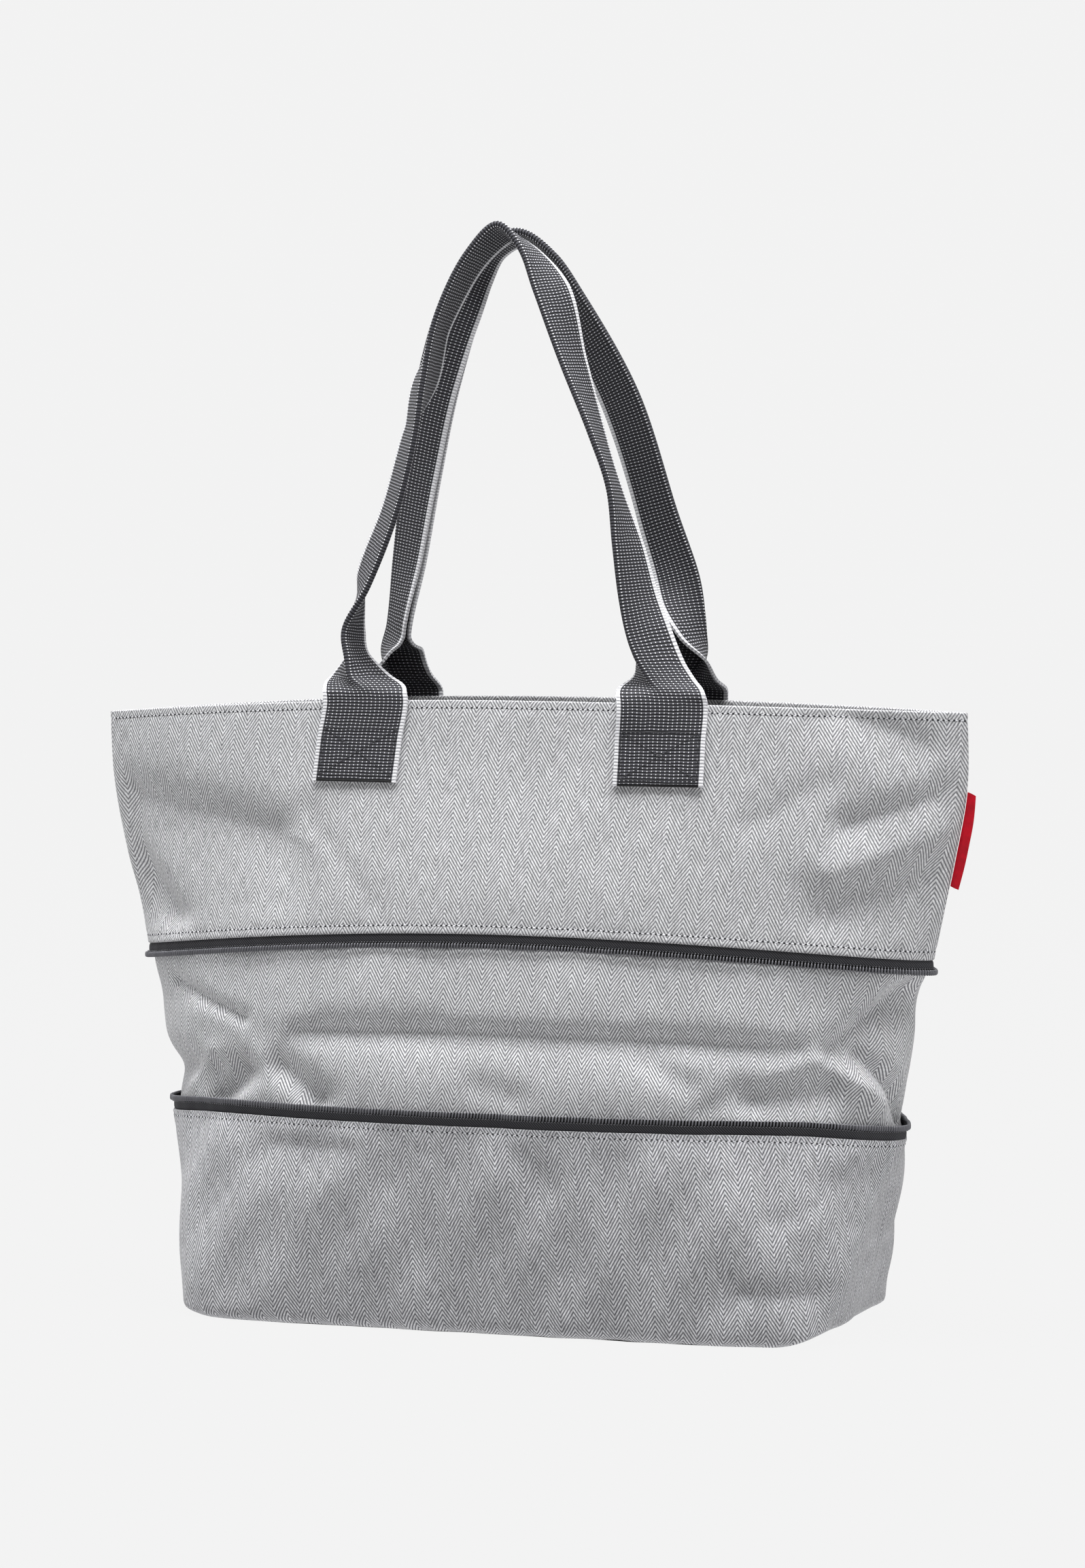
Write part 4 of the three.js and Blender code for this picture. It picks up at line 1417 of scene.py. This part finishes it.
    def foot_seams(self, points: np.ndarray, flat: np.ndarray) -> list[Trace]:
        """The sewn box and its diagonals on both feet.

        Args:
            points: the webbing's middle surface.
            flat: its flat coordinates.

        Returns:
            Each seam's points and outward directions.
        """
        across, along = flat[0, :, 0], flat[:, 0, 1]
        sides = self.width / 2 - self.stitch_margin
        low, high = self.stitch_margin, self.stitch_margin + self.stitch_height
        corners = [(-sides, low), (sides, low), (sides, high), (-sides, high)]
        legs = [(0, 1), (1, 2), (2, 3), (3, 0), (0, 2), (1, 3)]
        seams = []
        for end in (1, -1):
            for start, stop in legs:
                share = np.linspace(0, 1, self.seam_points)[:, None]
                route = np.array(corners[start]) * (1 - share) + np.array(corners[stop]) * share
                place = route[:, 1] if end == 1 else along[-1] - route[:, 1]
                row = np.interp(place, along, np.arange(len(along)))
                low_row = np.minimum(row.astype(int), len(along) - 2)
                part = (row - low_row)[:, None]
                seam = []
                for index in range(len(route)):
                    both = points[low_row[index] : low_row[index] + 2]
                    spot = both[0] * (1 - part[index]) + both[1] * part[index]
                    seam.append([np.interp(route[index, 0], across, spot[:, axis]) for axis in range(3)])
                out = np.array([0, float(self.side), 0])
                path = np.array(seam) + out * (self.thickness / 2 + self.stitch_lift)
                seams.append((path, np.repeat(out[None], len(path), axis=0)))
        return seams

    def build(self) -> None:
        """Builds and dresses the webbing and the seams on its feet."""
        points, flat = self.sheet_points()
        piece = grid_sheet(f"{self.name}_webbing", points, flat)
        thicken(piece, self.thickness, offset=0.0)
        length = float(flat[-1, 0, 1])
        webbing = RibbedWebbing(f"woven_polypropylene_webbing_{self.side.name.lower()}", length=length)
        dress(piece, webbing.material(), "webbing", self.name)
        seams = StitchRow(f"{self.name}_box_stitches", "webbing", pitch=2.4, size=(2.0, 0.7, 0.5))
        seams.build(self.foot_seams(points, flat), DARK_THREAD_AND_HOLE_SHADE.material())


@dataclass
class SideLabel:
    """A glossy folded ribbon in the right side seam: a loop that stands out, bowed and hanging a little."""

    top: float = RIM_HEIGHT - 40
    height: float = 48.0
    reach: float = 4.9
    start: float = 0.4
    bow: float = 0.22
    hang: float = 0.45
    half_thick: float = 0.45
    bulge: float = 0.75
    ripple: float = 0.2
    ripple_length: float = 3.1
    ribbon: float = 0.35
    rows: int = 36
    side_steps: int = 10
    turn_steps: int = 8
    cut: Pair = (0.012, 0.048)

    def build(self) -> None:
        """Builds and dresses the ribbon."""
        heights = np.linspace(self.top - self.height, self.top, self.rows + 1)
        fold = self.reach - self.half_thick
        straight = np.linspace(self.start, fold, self.side_steps + 1)
        turn = np.linspace(-math.pi / 2, math.pi / 2, self.turn_steps + 1)[1:-1]
        swell = self.half_thick + self.bulge * np.sin(np.linspace(0, math.pi, self.side_steps + 1))
        bend = ((math.cos(angle) * self.half_thick, math.sin(angle) * self.half_thick) for angle in turn)
        profile = [
            *zip(straight, -swell),
            *((fold + out, across) for out, across in bend),
            *zip(straight[::-1], swell),
        ]
        lines = []
        for height in heights:
            seam = UPPER_BAND.row(height, np.array([1.0]), Side.FRONT)[0][0]
            up = 2 * (height - self.top) / self.height + 1
            wider = 1 + self.bow * (1 - up * up)
            wave = self.ripple * math.sin((height - self.top) / self.ripple_length)
            lines.append(
                [
                    (seam[0] + out * wider, across + wave * out / self.reach, seam[2] - self.hang * out)
                    for out, across in profile
                ]
            )
        points = np.array(lines)
        run = run_along(np.array(profile))
        piece = grid_sheet("side_label_ribbon", points, weave_places(points, run))
        thicken(piece, self.ribbon)
        dress(piece, RED_VINYL.material(), "label", "side_label")


@dataclass
class ZipSlider:
    """A zip slider parked on the lower zip half at the middle of the back, with its pull tab hanging down."""

    body: Triple = (9.0, 1.4, 8.0)
    crown: Triple = (2.2, 1.6, 5.0)
    crown_sunk: float = 0.4
    tab: Triple = (5.0, 1.0, 11.0)
    tab_out: float = 0.55
    tab_drop: float = 0.5
    above_seam: float = 7.0
    stand_off: float = 2.3
    rounding: float = 0.45
    sharp_deg: float = 40.0

    def block(self, size: Triple, middle: Triple) -> bpy.types.Object:
        """Models one rounded part of the casting.

        Args:
            size: its width, depth and height.
            middle: where its middle lies.

        Returns:
            The part.
        """
        deselect_all()
        bpy.ops.mesh.primitive_cube_add(size=1, location=[value * MM for value in middle])
        part = bpy.context.object
        with editing_all():
            bpy.ops.transform.resize(value=[value * MM for value in size])
            bpy.ops.mesh.bevel(offset=self.rounding * MM, segments=3, affect="EDGES")
        bpy.ops.object.transform_apply(location=True, rotation=True, scale=True)
        return part

    def build(self) -> None:
        """Builds and dresses the slider."""
        x, y, z = LOWER_BAND.row(LOWER_SEAM, np.array([0.0]), Side.BACK)[0][0]
        back = y + self.stand_off
        front = back + self.body[1]
        level = z + self.above_seam
        body = self.block(self.body, (x, back + self.body[1] / 2, level))
        crown = self.block(self.crown, (x, front + self.crown[1] / 2 - self.crown_sunk, level))
        tab = self.block(self.tab, (x, front + self.tab_out, level - self.tab_drop - self.tab[2] / 2))
        deselect_all()
        for part in (body, crown, tab):
            part.select_set(True)
        bpy.context.view_layer.objects.active = body
        bpy.ops.object.join()
        body.name = body.data.name = "zip_slider_casting"
        smooth_faces(body, self.sharp_deg)
        dress(body, DARK_ENAMEL.material(), "slider", "zip_slider")


@dataclass(frozen=True)
class SoftLight:
    """A large soft lamp: its place and size in metres, its aim and its power in watts."""

    name: str
    place: Triple
    aim: Triple
    size: Pair
    power: float

    def build(self) -> None:
        """Hangs the lamp and aims it."""
        lamp = bpy.data.lights.new(self.name, "AREA")
        lamp.shape = "RECTANGLE"
        lamp.size, lamp.size_y = self.size
        lamp.energy = self.power
        holder = bpy.data.objects.new(self.name, lamp)
        holder.location = self.place
        holder.rotation_euler = (Vector(self.aim) - Vector(self.place)).to_track_quat("-Z", "Y").to_euler()
        bpy.context.collection.objects.link(holder)


@dataclass
class Studio:
    """A pale floor that curves up all round, with soft light mostly from above. Its sizes are in metres."""

    floor_radius: float = 12.0
    floor_corners: int = 128
    wall_height: float = 2.1
    cove: float = 1.2
    cove_steps: int = 12
    floor_drop: float = 0.0003
    glow: float = 1.01
    glow_colour: str = "f1f1f1"
    floor_colour: str = "0d0d0d"
    footing_share: float = 0.9
    footing_steps: int = 60
    sky_strength: float = 0.04
    lamps: tuple[SoftLight, ...] = (
        SoftLight("overhead_softbox", (0.0, -0.3, 2.6), (0.0, -0.3, 0.0), (2.4, 1.1), 166.0),
        SoftLight("left_softbox", (-2.4, -0.3, 1.1), (0.0, 0.0, 0.2), (0.9, 1.4), 14.0),
        SoftLight("right_softbox", (2.4, -0.3, 1.1), (0.0, 0.0, 0.2), (0.9, 1.4), 14.0),
    )

    def floor_material(self) -> bpy.types.Material:
        """Matt backdrop paper, lit evenly from behind so that it stays pale to its edges."""
        material, node = new_material("matt_backdrop_paper")
        glow = node("Emission", {"Color": srgb(self.glow_colour), "Strength": self.glow})
        paper = node("BsdfDiffuse", {"Color": srgb(self.floor_colour), "Roughness": 0.5})
        node("OutputMaterial", {"Surface": node("AddShader", {0: glow, 1: paper})})
        return material

    def footing(self) -> bpy.types.Object:
        """Lays a dark sheet of painted shadow where the bag covers the floor, so no light comes up from under
        it.
        """
        outline, _ = LOWER_BAND.ring(0.0, self.footing_steps)
        deselect_all()
        bpy.ops.mesh.primitive_circle_add(vertices=2 * self.footing_steps, radius=1, fill_type="NGON")
        sheet = bpy.context.object
        sheet.name = sheet.data.name = "painted_shadow_under_bag"
        for vertex, spot in zip(sheet.data.vertices, outline):
            vertex.co = (spot[0] * self.footing_share * MM, spot[1] * MM, -self.floor_drop / 2)
        sheet.data.materials.append(PAINTED_SHADOW_PAPER.material())
        return sheet

    def build(self) -> None:
        """Lays the floor and hangs the lamps."""
        deselect_all()
        flat = self.floor_radius - self.cove
        bpy.ops.mesh.primitive_circle_add(
            vertices=self.floor_corners, radius=flat, fill_type="NGON", location=(0, 0, -self.floor_drop)
        )
        floor = bpy.context.object
        floor.name = floor.data.name = "studio_floor"
        quarter = math.pi / 2
        steps = self.cove_steps
        radii = [flat + self.cove * math.sin(step / steps * quarter) for step in range(steps + 1)]
        with editing_all():
            for step, (before, radius) in enumerate(zip(radii, radii[1:])):
                lift = self.cove * quarter / steps * math.sin((step + 0.5) / steps * quarter)
                bpy.ops.mesh.extrude_region_move(TRANSFORM_OT_translate={"value": (0, 0, lift)})
                bpy.ops.transform.resize(value=(radius / before, radius / before, 1))
            wall = (0, 0, self.wall_height - self.cove)
            bpy.ops.mesh.extrude_region_move(TRANSFORM_OT_translate={"value": wall})
            bpy.ops.mesh.delete(type="ONLY_FACE")
        bpy.ops.object.transform_apply(location=True, rotation=True, scale=True)
        floor.data.materials.append(self.floor_material())
        self.footing()
        for lamp in self.lamps:
            lamp.build()
        world = bpy.data.worlds.new("studio_air")
        world.use_nodes = True
        air = world.node_tree.nodes["Background"].inputs
        air["Color"].default_value = (1, 1, 1, 1)
        air["Strength"].default_value = self.sky_strength
        bpy.context.scene.world = world
        bpy.context.scene.view_settings.view_transform = "Standard"


@dataclass(frozen=True)
class PhotoCamera:
    """The camera at the photograph's place: its aim, distance and angles, and its focal length in pixels."""

    aim: Triple = (8.58, 0.0, 294.44)
    distance: float = 3000.0
    azimuth_deg: float = 19.0
    elevation_deg: float = 3.4
    focal_pixels: float = 8000.0
    sensor: float = 36.0
    sight_m: float = 100.0

    def build(self) -> None:
        """Places the camera and makes it the scene's own."""
        azimuth, elevation = math.radians(self.azimuth_deg), math.radians(self.elevation_deg)
        level = math.cos(elevation)
        away = Vector((math.sin(azimuth) * level, -math.cos(azimuth) * level, math.sin(elevation)))
        data = bpy.data.cameras.new("photo_camera")
        data.sensor_fit = "VERTICAL"
        data.sensor_height = data.sensor_width = self.sensor
        data.lens = self.focal_pixels / PHOTO_PIXELS_TALL * self.sensor
        data.clip_end = self.sight_m
        camera = bpy.data.objects.new("photo_camera", data)
        camera.location = (Vector(self.aim) + away * self.distance) * MM
        camera.rotation_euler = (-away).to_track_quat("-Z", "Y").to_euler()
        bpy.context.collection.objects.link(camera)
        bpy.context.scene.camera = camera


FRONT_HANDLE = Handle(
    name="front_strap",
    side=Side.FRONT,
    left=Foot(-0.336, -0.32),
    right=Foot(0.346, 0.349),
    rows=(
        (-91.2, -35.9, 353.6, 90, 0.47),
        (-93.8, -34.2, 364, 94, 0.15),
        (-96.4, -32, 379, 86, 0),
        (-82.5, -31.2, 403, 122, 0),
        (-66, -29.6, 444, 125, 0),
        (-56, -27.6, 486, 121, 0),
        (-52, -26, 516, 106, 0.14),
        (-45.5, -23, 551, 90, 0),
        (-29, -19.5, 586, 80, 0),
        (-12, -18, 602, 72, 0),
        (1, -18.8, 590, 88, 0),
        (11.5, -21.6, 565, 118, 0),
        (27, -25, 528, 102, 0),
        (46, -29, 487, 86, 0),
        (56.5, -29.5, 458, 84, 0),
        (60, -30.8, 428, 107, 0),
        (63.9, -31.6, 398, 125, 0),
        (68, -32.2, 379, 138, 0.08),
        (73.3, -33.7, 367, 116, 0.39),
        (82, -35.4, 354, 106, 0.61),
    ),
)

BACK_HANDLE = Handle(
    name="back_strap",
    side=Side.BACK,
    left=Foot(-0.352, -0.352),
    right=Foot(0.31, 0.306),
    rows=(
        (-95.2, 36, 353.7, -48, 0.53),
        (-98.2, 34.2, 366, -31, 0.29),
        (-93.8, 32, 381.6, -43, 0),
        (-89, 29, 420, -28, 0),
        (-81.5, 23.5, 468, -14, 0),
        (-70, 16, 519, 2, 0),
        (-57.5, 12, 556, 26, 0),
        (-45, 10.4, 579, 52, 0),
        (-30, 9.4, 593, 72, 0),
        (-8, 9, 599, 76, 0),
        (12, 9.5, 586, 56, 0),
        (28, 11, 564, 34, 0),
        (57.5, 17.6, 510.5, 18, 0),
        (77, 26, 446, 15, 0),
        (89.4, 30.5, 407, -11, 0),
        (92.4, 32, 379, -57, 0.12),
        (91.6, 34.2, 365, -66, 0.42),
        (83.3, 36, 352, -78, 0.71),
    ),
)


@dataclass
class SewnRows:
    """The rows of stitches along the rim and beside both zip halves, with painted shade at each needle hole.
    """

    end: float = 0.995
    steps: int = 400
    hole: Triple = (1.6, 1.2, 0.6)

    def build(self) -> None:
        """Sews the rows and puts a dark bead of painted shade in each needle hole between the stitches."""
        thread, dark = PALE_THREAD.material(), DARK_THREAD_AND_HOLE_SHADE.material()
        around = np.linspace(-self.end, self.end, self.steps)
        for name, band, height in (
            ("rim", UPPER_BAND, RIM_STITCH),
            ("upper_zip_seam", UPPER_BAND, UPPER_STITCH),
            ("lower_zip_seam", LOWER_BAND, LOWER_STITCH),
        ):
            paths = [band.row(height, around, side, SEAM_GAP) for side in Side]
            StitchRow(f"{name}_stitches", "cloth").build(paths, thread)
            # Painted shade: a dark bead in each needle hole, between the stitches.
            StitchRow(f"{name}_needle_holes", "cloth", size=self.hole, shift=0.5).build(paths, dark)


def main() -> None:
    """Builds the dressed bag in its studio."""
    logging.basicConfig(level=logging.INFO, format="%(name)s %(message)s")
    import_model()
    parts = (
        PhotoCamera(),
        UpperBody(),
        MiddleBody(),
        LowerBody(),
        ZipHalf("upper", UPPER_BAND, UPPER_SEAM, Hand.BELOW),
        ZipHalf("lower", LOWER_BAND, LOWER_SEAM, Hand.ABOVE),
        FRONT_HANDLE,
        BACK_HANDLE,
        SideLabel(),
        ZipSlider(),
        SewnRows(),
        Studio(),
    )
    for part in parts:
        part.build()


if __name__ == "__main__":
    main()
